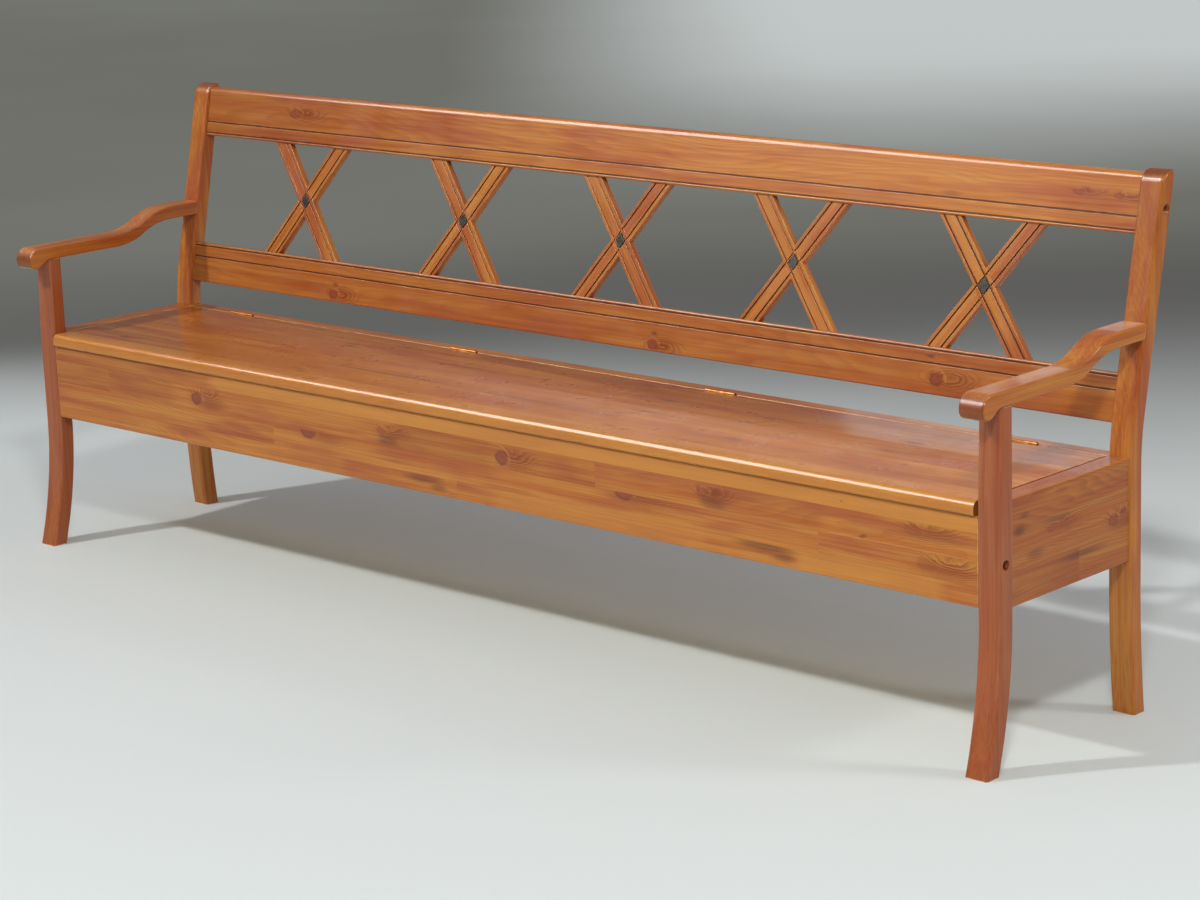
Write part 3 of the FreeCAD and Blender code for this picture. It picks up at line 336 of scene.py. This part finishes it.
def pine(name, along, up, origin, seed, knots=(), streaks=(), edges=(), length=0.9, blocks=(),
         tone=0.0, painted_light_drift=None, spread=0.5, pith=(0.0, 0.07), rings=0.20, glued=0.25, gloss=0.36,
         light_wood=GOLDEN, main_wood=AMBER):
    """Stained, varnished pine. The board's own frame starts at origin. A tone above nothing is
    lighter and one below is darker. drift lists pairs of (place along the board, tone there), a
    painted light and shade along the board."""
    material, graph, shader = new_material(name)
    place = board_place(graph, board_axes(along, up), origin)
    chance, glue, shade = stave_field(graph, place, edges, length, blocks, spread)
    moved = graph.vector("ADD", place, graph.joined(graph.times(chance, 9.0), 0.0, seed))
    if knots:
        heart, edge, light, bend, near = knot_field(graph, place, knots)

    # growth rings round a pith beside the board, bent by slow waves and round the knots
    slow = graph.noise(graph.vector("MULTIPLY", moved, (1.1, 6.0, 6.0)), 1.0, 2.0)
    swell = graph.noise(graph.vector("MULTIPLY", moved, (5.0, 45.0, 45.0)), 1.0, 1.0)
    _, y, z = graph.parts(place)
    down = graph.add(graph.add(z, pith[1]), graph.times(slow, 0.05))
    side = graph.add(graph.subtract(y, pith[0]), graph.times(graph.subtract(slow, 0.5), 0.16))
    if edges:
        side = graph.add(side, graph.times(graph.subtract(chance, 0.5), 0.14))
    radius = graph.add(graph.times(down, down), graph.times(side, side))
    radius = graph.add(graph.math("SQRT", radius), graph.times(swell, 0.007))
    if knots:
        radius = graph.add(radius, bend)
    phase = graph.math("FRACT", graph.math("DIVIDE", radius, RING))
    late = graph.times(graph.fade(phase, 0.15, 0.92), graph.fade(phase, 1.0, 0.93))

    fibre = graph.noise(graph.vector("MULTIPLY", moved, (10.0, 800.0, 800.0)), 1.0, 3.0, 0.6)
    streak = graph.noise(graph.vector("MULTIPLY", moved, (1.8, 60.0, 60.0)), 1.0, 4.0, 0.6)
    grain = graph.noise(graph.vector("MULTIPLY", moved, (3.5, 230.0, 230.0)), 1.0, 3.0, 0.6)
    cloud = graph.noise(graph.vector("MULTIPLY", moved, (3.6, 22.0, 22.0)), 1.0, 2.0)

    colour = graph.mix(graph.fade(streak, 0.33, 0.67, 0.10, 1.0), light_wood, main_wood)
    colour = graph.mix(graph.fade(cloud, 0.45, 0.68, 0.0, 0.85), colour, ROSE)
    colour = graph.mix(graph.fade(grain, 0.56, 0.30, 0.0, 0.34), colour, light_wood)
    colour = graph.mix(graph.fade(grain, 0.50, 0.72, 0.0, 0.34), colour, BROWN)
    plain = graph.add(graph.times(near, 0.85), rings) if knots else rings
    colour = graph.mix(graph.times(late, plain), colour, BROWN)
    colour = graph.mix(graph.fade(fibre, 0.48, 0.80, 0.0, 0.26), colour, BROWN)
    shade = graph.add(shade, tone)
    # painted light and shade: the tone drifts lighter and darker along the board
    if painted_light_drift:
        shade = graph.add(shade, painted_light_drift_field(graph, graph.parts(place)[0], painted_light_drift))
    colour = graph.mix(graph.times(shade, 1.0, True), colour, light_wood)
    colour = graph.mix(graph.times(shade, -1.0, True), colour, BROWN)

    # knots, streaks, glue lines, painted shade in the grooves, and arrises lightened by wear and a
    # painted highlight
    if knots:
        colour = graph.mix(graph.times(near, 0.34), colour, BROWN)
        colour = graph.mix(graph.times(light, 0.30), colour, KNOT_LIGHT)
        centre = graph.mix(graph.fade(fibre, 0.35, 0.7, 0.0, 0.5), KNOT, KNOT_EDGE)
        colour = graph.mix(graph.times(heart, 0.85), colour, centre)
        colour = graph.mix(graph.times(edge, 0.55), colour, KNOT_EDGE)
    if streaks:
        dark = graph.times(streak_field(graph, place, streaks), graph.fade(fibre, 0.25, 0.6, 0.6, 1.0))
        colour = graph.mix(graph.times(dark, 0.8), colour, DARK)
    if edges:
        colour = graph.mix(graph.times(glue, glued), colour, KNOT_EDGE)
    outward = graph.node("ShaderNodeTexCoord", {}).outputs["Normal"]
    facing = graph.vector("DOT_PRODUCT", outward, tuple(Vector(along).normalized()))
    end = graph.fade(graph.math("ABSOLUTE", facing), 0.45, 0.85, 0.0, 0.75)
    colour = graph.mix(end, colour, END_GRAIN)
    groove = graph.node("ShaderNodeAttribute", {}, attribute_name="groove").outputs["Fac"]
    worn_and_highlit = graph.node("ShaderNodeAttribute", {}, attribute_name="worn_and_highlit").outputs["Fac"]
    patchy = graph.fade(graph.noise(place, 35.0, 2.0), 0.35, 0.65, 0.15, 0.8)
    # the arrises are lightened by wear and a painted highlight
    colour = graph.mix(graph.times(worn_and_highlit, patchy), colour, WORN_AND_HIGHLIT)
    # painted shade darkens the grooves
    colour = graph.mix(graph.times(groove, 0.85), colour, PAINTED_GROOVE_SHADE)

    height = graph.add(graph.times(late, -0.35), graph.times(fibre, -0.5))
    height = graph.subtract(height, graph.times(glue, 0.8))
    bump = graph.node("ShaderNodeBump", {"Strength": 0.30, "Distance": 0.0002, "Height": height})
    rough = graph.fade(graph.noise(place, 12.0, 3.0, 0.6), 0.3, 0.7, gloss - 0.05, gloss + 0.08)
    graph.put(shader.inputs["Base Color"], colour)
    graph.put(shader.inputs["Roughness"], rough)
    graph.put(shader.inputs["Normal"], bump.outputs[0])
    shader.inputs["Specular IOR Level"].default_value = 0.2
    shader.inputs["Coat Weight"].default_value = 0.36
    shader.inputs["Coat Roughness"].default_value = 0.12
    return material


def raw_wood(name, along, up, pale, dark, ring=0.004, rough=0.62):
    """Unvarnished wood for the parts that don't show."""
    material, graph, shader = new_material(name)
    place = board_place(graph, board_axes(along, up), (0, 0, 0))
    slow = graph.noise(graph.vector("MULTIPLY", place, (1.5, 8.0, 8.0)), 1.0, 2.0)
    _, y, z = graph.parts(place)
    side = graph.add(y, graph.times(slow, 0.12))
    down = graph.add(z, 0.06)
    radius = graph.math("SQRT", graph.add(graph.times(side, side), graph.times(down, down)))
    phase = graph.math("FRACT", graph.math("DIVIDE", radius, ring))
    late = graph.times(graph.fade(phase, 0.2, 0.9), graph.fade(phase, 1.0, 0.94))
    fibre = graph.noise(graph.vector("MULTIPLY", place, (12.0, 700.0, 700.0)), 1.0, 3.0, 0.6)
    colour = graph.mix(graph.times(late, 0.7), pale, dark)
    colour = graph.mix(graph.fade(fibre, 0.5, 0.8, 0.0, 0.4), colour, dark)
    bump = graph.node("ShaderNodeBump", {"Strength": 0.4, "Distance": 0.0002, "Height": fibre})
    graph.put(shader.inputs["Base Color"], colour)
    graph.put(shader.inputs["Roughness"], graph.fade(fibre, 0.3, 0.8, rough - 0.06, rough + 0.1))
    graph.put(shader.inputs["Normal"], bump.outputs[0])
    return material


def plywood(name):
    """Birch plywood: figured faces and glued layers along its edges."""
    material, graph, shader = new_material(name)
    place = board_place(graph, board_axes((1, 0, 0), (0, 1, 0)), (0, 0, CHEST_BOTTOM))
    _, _, z = graph.parts(place)
    wave = graph.noise(graph.vector("MULTIPLY", place, (1.2, 7.0, 7.0)), 1.0, 3.0)
    figure = graph.math("FRACT", graph.times(wave, 9.0))
    figure = graph.times(graph.fade(figure, 0.1, 0.8), graph.fade(figure, 1.0, 0.85))
    fibre = graph.noise(graph.vector("MULTIPLY", place, (14.0, 600.0, 600.0)), 1.0, 3.0, 0.6)
    colour = graph.mix(graph.times(figure, 0.5), srgb(222, 192, 146), srgb(190, 150, 100))
    colour = graph.mix(graph.fade(fibre, 0.5, 0.8, 0.0, 0.35), colour, srgb(168, 128, 84))
    normal = graph.node("ShaderNodeNewGeometry", {}).outputs["True Normal"]
    flat = graph.math("ABSOLUTE", graph.parts(normal)[2])
    place_in_pair = graph.math("FRACT", graph.times(z, PLY_LAYERS_PER_METRE))
    layer = graph.math("GREATER_THAN", place_in_pair, 0.5)
    layers = graph.mix(layer, srgb(206, 172, 122), srgb(130, 92, 58))
    colour = graph.mix(graph.math("GREATER_THAN", flat, 0.5), layers, colour)
    bump = graph.node("ShaderNodeBump", {"Strength": 0.3, "Distance": 0.0002, "Height": fibre})
    graph.put(shader.inputs["Base Color"], colour)
    graph.put(shader.inputs["Roughness"], graph.fade(fibre, 0.3, 0.8, 0.5, 0.66))
    graph.put(shader.inputs["Normal"], bump.outputs[0])
    return material


def metal(name, base, dull, spot, rough):
    """Metal with an uneven surface, lighter on its arrises from wear and a painted highlight."""
    material, graph, shader = new_material(name)
    where = graph.node("ShaderNodeTexCoord", {}).outputs["Object"]
    patch = graph.noise(where, 90.0, 3.0, 0.6)
    fine = graph.noise(where, 900.0, 2.0, 0.6)
    worn_and_highlit = graph.node("ShaderNodeAttribute", {}, attribute_name="worn_and_highlit").outputs["Fac"]
    colour = graph.mix(graph.fade(patch, 0.35, 0.65), base, dull)
    colour = graph.mix(graph.fade(fine, 0.55, 0.75, 0.0, 0.5), colour, spot)
    # the arrises are lightened by wear and a painted highlight
    colour = graph.mix(graph.times(worn_and_highlit, 0.6), colour, base)
    bump = graph.node("ShaderNodeBump", {"Strength": 0.25, "Distance": 0.00008, "Height": fine})
    graph.put(shader.inputs["Base Color"], colour)
    graph.put(shader.inputs["Roughness"], graph.fade(patch, 0.3, 0.7, rough - 0.08, rough + 0.12))
    graph.put(shader.inputs["Normal"], bump.outputs[0])
    shader.inputs["Metallic"].default_value = 1.0
    return material


def inlay(name):
    """A dark, close-grained wood."""
    material, graph, shader = new_material(name)
    place = board_place(graph, board_axes(LEAN_UP, (1, 0, 0)), BEND)
    fibre = graph.noise(graph.vector("MULTIPLY", place, (30.0, 700.0, 700.0)), 1.0, 3.0, 0.6)
    cloud = graph.noise(place, 70.0, 2.0)
    colour = graph.mix(graph.fade(fibre, 0.35, 0.75), srgb(34, 36, 28), srgb(58, 54, 42))
    colour = graph.mix(graph.fade(cloud, 0.4, 0.7, 0.0, 0.5), colour, srgb(24, 30, 26))
    bump = graph.node("ShaderNodeBump", {"Strength": 0.25, "Distance": 0.0001, "Height": fibre})
    graph.put(shader.inputs["Base Color"], colour)
    graph.put(shader.inputs["Roughness"], graph.fade(cloud, 0.3, 0.7, 0.3, 0.42))
    graph.put(shader.inputs["Normal"], bump.outputs[0])
    shader.inputs["Coat Weight"].default_value = 0.4
    shader.inputs["Coat Roughness"].default_value = 0.15
    return material


# Dressed pieces: each is a copy of its CAD node with softened arrises and a finished surface
def body_of_node(node):
    moving = ("seat_lid", "lid_batten", "hinge_lid_screws", "batten_screws")
    if node.startswith(moving) or node.endswith("_lid_leaf"):
        return "lid"
    return "frame"


def apply_modifiers(piece):
    bpy.context.view_layer.update()
    ready = piece.evaluated_get(bpy.context.evaluated_depsgraph_get())
    made = bpy.data.meshes.new_from_object(ready)
    made.name = piece.name
    piece.modifiers.clear()
    piece.data = made


def box_of(shape):
    places = [vertex.co for vertex in shape.verts]
    return [limit(place[axis] for place in places) for axis in range(3) for limit in (min, max)]


def clean_copy(node):
    shape = bmesh.new()
    shape.from_mesh(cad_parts[node].data)
    bmesh.ops.remove_doubles(shape, verts=shape.verts, dist=WELD)
    bmesh.ops.dissolve_limit(shape, angle_limit=FLAT_LIMIT, verts=shape.verts, edges=shape.edges)
    for face in shape.faces:
        face.material_index = 0
    return shape


def is_arris(edge, shortest):
    """An outer corner that a hand would feel, and not the rim of a small hole."""
    if len(edge.link_faces) != 2 or not edge.is_convex:
        return False
    return edge.calc_face_angle() > SHARP and edge.calc_length() > shortest


def marked_mesh(shape, name, material, in_groove):
    """The shape as a mesh, in which each face is marked as an arris (lightened by wear and a painted
    highlight), a groove (darkened by painted shade) or neither.
    """
    mesh = bpy.data.meshes.new(name)
    shape.to_mesh(mesh)
    shape.free()
    worn_and_highlit = mesh.attributes.new("worn_and_highlit", "FLOAT", "FACE")
    groove = mesh.attributes.new("groove", "FLOAT", "FACE")
    for face in mesh.polygons:
        sunk = bool(in_groove and in_groove(face.center))
        groove.data[face.index].value = float(sunk)
        worn_and_highlit.data[face.index].value = float(face.material_index == 1 and not sunk)
        face.material_index = 0
    mesh.materials.append(material)
    return mesh


def dressed(node, material, arris=ARRIS, shortest=SHORT, in_groove=None):
    """A finished copy of a CAD node: softened arrises, clean shading, and marks for the wear and
    painted highlight on its arrises and the painted shade in its grooves.
    """
    shape = clean_copy(node)
    if arris:
        before = box_of(shape)
        edges = [edge for edge in shape.edges if is_arris(edge, shortest)]
        bmesh.ops.bevel(shape, geom=edges, offset=arris, offset_type="OFFSET", segments=2,
                        profile=0.5, affect="EDGES", clamp_overlap=False, material=1)
        if max(abs(one - two) for one, two in zip(before, box_of(shape))) > ARRIS:
            print("NOT SOFTENED", node)
            shape.free()
            shape = clean_copy(node)
    mesh = marked_mesh(shape, node + "_dressed", material, in_groove)
    mesh.shade_smooth()
    mesh.set_sharp_from_angle(angle=SMOOTH_LIMIT)
    piece = bpy.data.objects.new(node + "_dressed", mesh)
    scene.collection.objects.link(piece)
    weigh = piece.modifiers.new("weigh", "WEIGHTED_NORMAL")
    weigh.keep_sharp = True
    apply_modifiers(piece)
    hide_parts(node)
    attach(piece, body_of_node(node))


def on_back(point):
    """A point's depth and rise on the leaning back."""
    away = Vector(point) - BEND
    return away.dot(LEAN_IN), away.dot(LEAN_UP)


def sunk_below(face, depth):
    shallow, deep = GROOVE_DEPTHS
    return shallow < depth - face < deep


def in_rail_groove(point):
    depth, rise = on_back(point)
    if not sunk_below(RAIL_FACE, depth):
        return False
    for groove in RAIL_GROOVES:
        for place in (LOWER_RAIL_TOP - groove, TOP_RAIL_FOOT + groove):
            if abs(rise - place) < NEAR_RAIL_GROOVE:
                return True
    return False


def in_strip_groove(point):
    depth, rise = on_back(point)
    if not sunk_below(STRIP_FACE, depth):
        return False
    for x in CROSSINGS:
        for direction in (-1, 1):
            across = ((point[0] - x) * math.cos(CROSS_ANGLE)
                      - direction * (rise - CROSSING_RISE) * math.sin(CROSS_ANGLE))
            along = ((point[0] - x) * direction * math.sin(CROSS_ANGLE)
                     + (rise - CROSSING_RISE) * math.cos(CROSS_ANGLE))
            if abs(abs(across) - STRIP_GROOVE) < NEAR_STRIP_GROOVE and abs(along) < STRIP_REACH:
                return True
    return False


add_camera()
scene.view_settings.view_transform = "Standard"
soft_world(0.10, 0.37)
softbox("key_light", (-3.4, -5.4, 6.6), (0, 0, 0.4), (0.4, 0.4), 300)
softbox("front_light", (3.4, -3.2, 4.0), (0, 0, 0.4), (0.5, 0.5), 120)
softbox("right_light", (2.94, 0.91, 1.7), (0.9, 0.1, 0.3), (0.4, 0.4), 14, (1, 0.97, 0.95))
softbox("seat_card", (-1.75, 3.9, 1.65), (1.1, -0.1, 0.45), (1.0, 0.8), 2.4, sheen_only=True)
softbox("nose_card", (-1.56, -1.6, 2.5), (0.7, -0.22, 0.44), (2.6, 1.6), 190, sheen_only=True)

X = (1, 0, 0)
Y = (0, 1, 0)
Z = (0, 0, 1)

# Boards of the chest. Knots and streaks list their place along and up the board, half their
# height, how much longer than high they are, the heights they keep between, and how strong they
# are. Blocks list two places along the board, two heights, and a tone.
ROW_1 = (0.392, 0.5)
ROW_2 = (0.3455, 0.392)
ROW_3 = (0.305, 0.3455)
ROW_4 = (0.2, 0.305)
ALL = (0, 0)
front_knots = [
    (-0.727, 0.368, 0.013, 1.1, *ROW_2, 1.0),
    (-0.401, 0.3455, 0.013, 1.5, *ROW_3, 0.9),
    (-0.196, 0.372, 0.008, 1.6, *ROW_2, 0.35),
    (0.120, 0.366, 0.013, 1.1, *ROW_2, 0.9),
    (0.416, 0.3455, 0.013, 1.5, *ROW_3, 0.9),
    (0.597, 0.374, 0.008, 1.5, *ROW_2, 0.5),
    (1.043, 0.378, 0.010, 1.8, *ROW_2, 0.25),
    (1.073, 0.326, 0.011, 1.8, *ROW_3, 0.25),
]
front_streaks = [
    (-0.085, 0.298, 0.010, 5.0, *ROW_4, 0.80),
    (-0.050, 0.286, 0.008, 3.0, *ROW_4, 0.70),
    (0.735, 0.300, 0.011, 6.0, *ROW_4, 0.85),
    (0.775, 0.288, 0.009, 3.0, *ROW_4, 0.70),
    (-0.178, 0.357, 0.011, 2.4, *ROW_2, 0.70),
    (0.620, 0.358, 0.012, 2.6, *ROW_2, 0.75),
    (0.944, 0.352, 0.004, 1.6, *ALL, 0.80),
    (0.904, 0.404, 0.003, 1.6, *ALL, 0.45),
    (-0.670, 0.395, 0.004, 4.0, *ROW_1, 0.25),
]
front_blocks = [
    (-0.679, 1.3, *ROW_1, 0.65),
    (-1.3, -0.679, *ROW_1, -0.20),
    (-1.3, -0.80, *ROW_2, -0.25),
    (-0.16, 0.090, *ROW_2, -0.30),
    (0.14, 0.58, *ROW_2, -0.12),
    (0.63, 0.86, *ROW_2, -0.25),
    (0.10, 0.60, *ROW_4, 0.35),
    (0.80, 1.10, *ROW_4, 0.55),
    (-0.62, -0.30, *ROW_4, 0.30),
]
front_pine = pine("front_board_pine", X, Z, (0, BOARD_FACE, 0), 0.0, front_knots, front_streaks,
                  (0.305, 0.3455, 0.392), 1.35, front_blocks, spread=0.15, glued=0.12)
rear_pine = pine("rear_board_pine", (-1, 0, 0), Z, (0, 0.173, 0), 1.3, (), (),
                 (0.31, 0.355, 0.40), 0.8, tone=-0.1)
seat_streaks = [
    (-1.017, -0.154, 0.006, 5.0, *ALL, 0.8),
    (-0.558, 0.043, 0.005, 6.0, *ALL, 0.8),
    (-0.526, -0.038, 0.005, 6.0, *ALL, 0.8),
    (-0.493, -0.160, 0.004, 6.0, *ALL, 0.6),
    (-0.407, 0.041, 0.004, 5.0, *ALL, 0.7),
    (-0.206, 0.032, 0.004, 6.0, *ALL, 0.5),
    (0.300, 0.037, 0.006, 3.5, *ALL, 0.9),
    (0.313, -0.051, 0.005, 7.0, *ALL, 1.0),
    (0.339, -0.168, 0.005, 5.0, *ALL, 1.0),
    (0.583, -0.121, 0.009, 2.8, *ALL, 0.8),
    (0.519, -0.014, 0.005, 5.0, *ALL, 0.7),
    (0.560, -0.020, 0.004, 3.0, *ALL, 0.5),
    (0.187, 0.107, 0.005, 5.0, *ALL, 0.7),
    (0.856, 0.030, 0.008, 3.0, *ALL, 0.9),
    (0.853, -0.040, 0.005, 5.0, *ALL, 0.7),
    (0.843, -0.148, 0.005, 4.0, *ALL, 0.5),
    (-0.700, -0.063, 0.006, 30.0, *ALL, 0.55),
    (-0.300, -0.095, 0.007, 26.0, *ALL, 0.70),
    (0.030, -0.104, 0.006, 24.0, *ALL, 0.60),
]
seat_rows = (-0.181, -0.122, -0.073, -0.018, 0.041, 0.090)
seat_blocks = [(-1.3, 1.3, -0.3, -0.181, 0.65)]
seat_pine = pine("seat_pine", X, Y, (0, 0, SEAT_TOP), 2.1, (), seat_streaks, seat_rows, 1.2,
                 seat_blocks, tone=-0.12, spread=0.35, glued=0.15, gloss=0.30)
strip_pine = pine("seat_strip_pine", X, Y, (0, 0.16, SEAT_TOP), 3.7, tone=-0.1)
end_rows = (0.327, 0.392)
end_knots = [
    (0.098, 0.352, 0.010, 1.3, *ALL, 0.7),
    (-0.075, 0.378, 0.006, 2.2, *ALL, 0.4),
]
end_streaks = [
    (-0.165, 0.392, 0.009, 2.2, *ALL, 0.9),
    (-0.150, 0.414, 0.005, 3.0, *ALL, 0.7),
    (-0.060, 0.391, 0.005, 9.0, *ALL, 0.7),
    (0.010, 0.316, 0.007, 10.0, *ALL, 0.8),
    (-0.120, 0.345, 0.008, 3.0, *ALL, 0.6),
]
end_pine = [
    pine("left_end_pine", (0, -1, 0), Z, (-1.2, 0, 0), 4.4, (), end_streaks, end_rows, 4.0,
         tone=-0.3, spread=0.2, rings=0.4),
    pine("right_end_pine", Y, Z, (1.2, 0, 0), 5.2, end_knots, end_streaks, end_rows, 4.0,
         tone=-0.3, spread=0.2, rings=0.4),
]

# Back
top_knots = [
    (-0.896, 0.401, 0.009, 1.7, *ALL, 0.8),
    (1.053, 0.399, 0.005, 2.0, *ALL, 0.6),
    (1.133, 0.398, 0.005, 2.0, *ALL, 0.6),
]
top_streaks = [(0.795, 0.375, 0.005, 5.0, *ALL, 0.5)]
lower_knots = [
    (-0.729, 0.042, 0.009, 1.3, *ALL, 0.9),
    (0.151, 0.040, 0.009, 1.3, *ALL, 0.9),
    (0.807, 0.054, 0.012, 1.2, *ALL, 1.0),
]
lower_streaks = [
    (-0.725, 0.062, 0.004, 2.0, *ALL, 0.8),
    (0.156, 0.060, 0.004, 2.0, *ALL, 0.8),
    (0.792, 0.092, 0.004, 2.0, *ALL, 0.8),
]
rail_origin = BEND + LEAN_IN * RAIL_FACE
# The top rail carries painted light and shade: darker at its left and far right ends, lighter towards
# the right.
top_pine = pine("top_rail_pine", X, LEAN_UP, rail_origin, 6.1, top_knots, top_streaks,
                painted_light_drift=((-1.1, -0.45), (-0.1, -0.1), (0.8, 0.25), (1.15, -0.15)),
                pith=(0.36, 0.06), rings=0.26)
lower_pine = pine("lower_rail_pine", X, LEAN_UP, rail_origin, 7.3, lower_knots, lower_streaks,
                  pith=(0.05, 0.05), tone=-0.3)
cross_up = LEAN_UP * math.cos(CROSS_ANGLE)
cross_side = Vector(X) * math.sin(CROSS_ANGLE)
cross_pine = {
    "front": pine("front_strip_pine", cross_up - cross_side, X, rail_origin, 8.2, tone=-0.1,
                  rings=0.06),
    "rear": pine("rear_strip_pine", cross_up + cross_side, X, rail_origin, 8.9, tone=-0.1,
                 rings=0.06),
}

dark_inlay = inlay("dark_inlay")
bare_pine = raw_wood("bare_pine", X, Z, srgb(224, 190, 138), srgb(190, 140, 84))
bare_pine_across = raw_wood("bare_pine_across", Y, Z, srgb(224, 190, 138), srgb(190, 140, 84))
beech = raw_wood("beech", X, Z, srgb(206, 160, 112), srgb(170, 118, 76), 0.002, 0.55)
birch_plywood = plywood("birch_plywood")
bronze = metal("antique_bronze", srgb(170, 112, 62), srgb(132, 82, 44), srgb(92, 56, 32), 0.46)
zinc = metal("zinc_plate", srgb(172, 174, 172), srgb(140, 142, 142), srgb(104, 106, 106), 0.34)

# Painted shade: the posts turn darker towards their tops.
POST_TOP_PAINTED_SHADE = (-0.2, -0.45)
for index, side in enumerate(("left", "right")):
    x = (-1.2, 1.2)[index]
    # the legs' wood is pinkened by a painted sheen
    leg = pine(side + "_leg_pine", Z, X, (x, -0.2, 0), 10 + index, tone=-0.15, pith=(0.05, 0.05),
               light_wood=PINK_SHEEN_LIGHT, main_wood=PINK_SHEEN)
    post = pine(side + "_post_pine", Z, X, (x, 0.16, 0), 13 + index, pith=(-0.04, 0.06),
                painted_light_drift=((0.4, -0.1), (0.9, POST_TOP_PAINTED_SHADE[index])))
    arm = pine(side + "_arm_pine", Y, X, (x, 0, 0.63), 16 + index, tone=-0.1, pith=(0.03, 0.05))
    dressed(side + "_front_leg", leg)
    dressed(side + "_rear_post", post)
    dressed(side + "_armrest", arm)
    dressed(side + "_end_board", end_pine[index])
    dressed(side + "_cleat", bare_pine_across)
dressed("front_board", front_pine)
dressed("rear_board", rear_pine)
dressed("seat_strip", strip_pine)
dressed("seat_lid", seat_pine)
dressed("chest_bottom", birch_plywood, 0.0004)
dressed("front_cleat", bare_pine)
dressed("rear_cleat", bare_pine)
dressed("middle_bearer", bare_pine_across)
for number in (1, 2, 3):
    dressed(f"lid_batten_{number}", bare_pine_across)
dressed("top_rail", top_pine, FINE_ARRIS, SHORT, in_rail_groove)
dressed("lower_rail", lower_pine, FINE_ARRIS, SHORT, in_rail_groove)
for number in range(1, 6):
    for which in ("front", "rear"):
        dressed(f"cross_{number}_{which}_strip", cross_pine[which], FINE_ARRIS, 0.0,
                in_strip_groove)
    dressed(f"cross_{number}_diamond", dark_inlay, 0.0004, 0.0)
for number in range(1, 5):
    dressed(f"hinge_{number}_fixed_leaf", bronze, METAL_ARRIS, 0.0)
    dressed(f"hinge_{number}_lid_leaf", bronze, METAL_ARRIS, 0.0)
    dressed(f"hinge_{number}_pin", bronze, METAL_ARRIS, 0.0)
dressed("hinge_strip_screws", bronze, 0.0)
dressed("hinge_lid_screws", bronze, 0.0)
dressed("batten_screws", zinc, 0.0)
dressed("cleat_screws", zinc, 0.0)
dressed("connector_bolts", zinc, 0.0)
dressed("barrel_nuts", zinc, 0.0)
dressed("dowels", beech, 0.0)


def add_floor():
    """Pale studio paper with painted shade that turns it grey behind the bench, and painted light that
    makes it lighter again in the distance.
    """
    mesh = bpy.data.meshes.new("floor")
    reach = 60.0
    corners = [(-reach, -reach, 0), (reach, -reach, 0), (reach, reach, 0), (-reach, reach, 0)]
    mesh.from_pydata(corners, [], [(0, 1, 2, 3)])
    floor = bpy.data.objects.new("floor", mesh)
    scene.collection.objects.link(floor)
    material, graph, shader = new_material("floor_paper")
    where = graph.node("ShaderNodeTexCoord", {}).outputs["Object"]
    turn = math.radians(CAMERA_TURN)
    inputs = {"Vector": where, "Rotation": (0, 0, -turn)}
    across, away, _ = graph.parts(graph.node("ShaderNodeMapping", inputs).outputs[0])
    soft = graph.subtract(graph.noise(where, 0.5, 2.0), 0.5)
    away = graph.add(away, graph.times(soft, 0.8))
    # painted shade: the paper turns grey behind the bench, from a distance that changes across the
    # view
    start = graph.fade(across, -1.0, 1.3, 1.8, 0.5)
    colour = graph.mix(graph.fade(away, start, 2.9), srgb(220, 228, 225), srgb(120, 121, 116))
    fine = graph.noise(where, 700.0, 2.0, 0.6)
    bump = graph.node("ShaderNodeBump", {"Strength": 0.1, "Distance": 0.0002, "Height": fine})
    graph.put(shader.inputs["Base Color"], colour)
    graph.put(shader.inputs["Normal"], bump.outputs[0])
    shader.inputs["Roughness"].default_value = 0.75
    shader.inputs["Specular IOR Level"].default_value = 0.2

    # the distance, as a camera and reflections see it: a glowing backdrop with painted light in
    # lighter patches
    # painted light: the backdrop turns lighter far away and towards the right, in soft clouds
    painted_light_clouds = graph.subtract(graph.noise(where, 0.22, 3.0), 0.5)
    lighter = graph.times(graph.fade(away, 4.2, 9.0), graph.fade(across, -0.7, 1.3))
    lighter = graph.add(lighter, graph.times(painted_light_clouds, 0.25))
    distance = graph.mix(graph.times(lighter, 1.0, True), srgb(110, 111, 105), srgb(194, 199, 199))
    glow = graph.node("ShaderNodeEmission", {"Color": distance})
    ray = graph.node("ShaderNodeLightPath", {})
    seen = graph.math("MAXIMUM", ray.outputs["Is Camera Ray"], ray.outputs["Is Glossy Ray"])
    seen = graph.math("MAXIMUM", seen, ray.outputs["Is Transmission Ray"])
    far = graph.times(graph.fade(away, 2.9, 4.4), seen)
    both = graph.node("ShaderNodeMixShader", {0: far, 1: shader.outputs[0], 2: glow.outputs[0]})
    output = material.node_tree.nodes["Material Output"]
    graph.put(output.inputs["Surface"], both.outputs[0])
    mesh.materials.append(material)


add_floor()
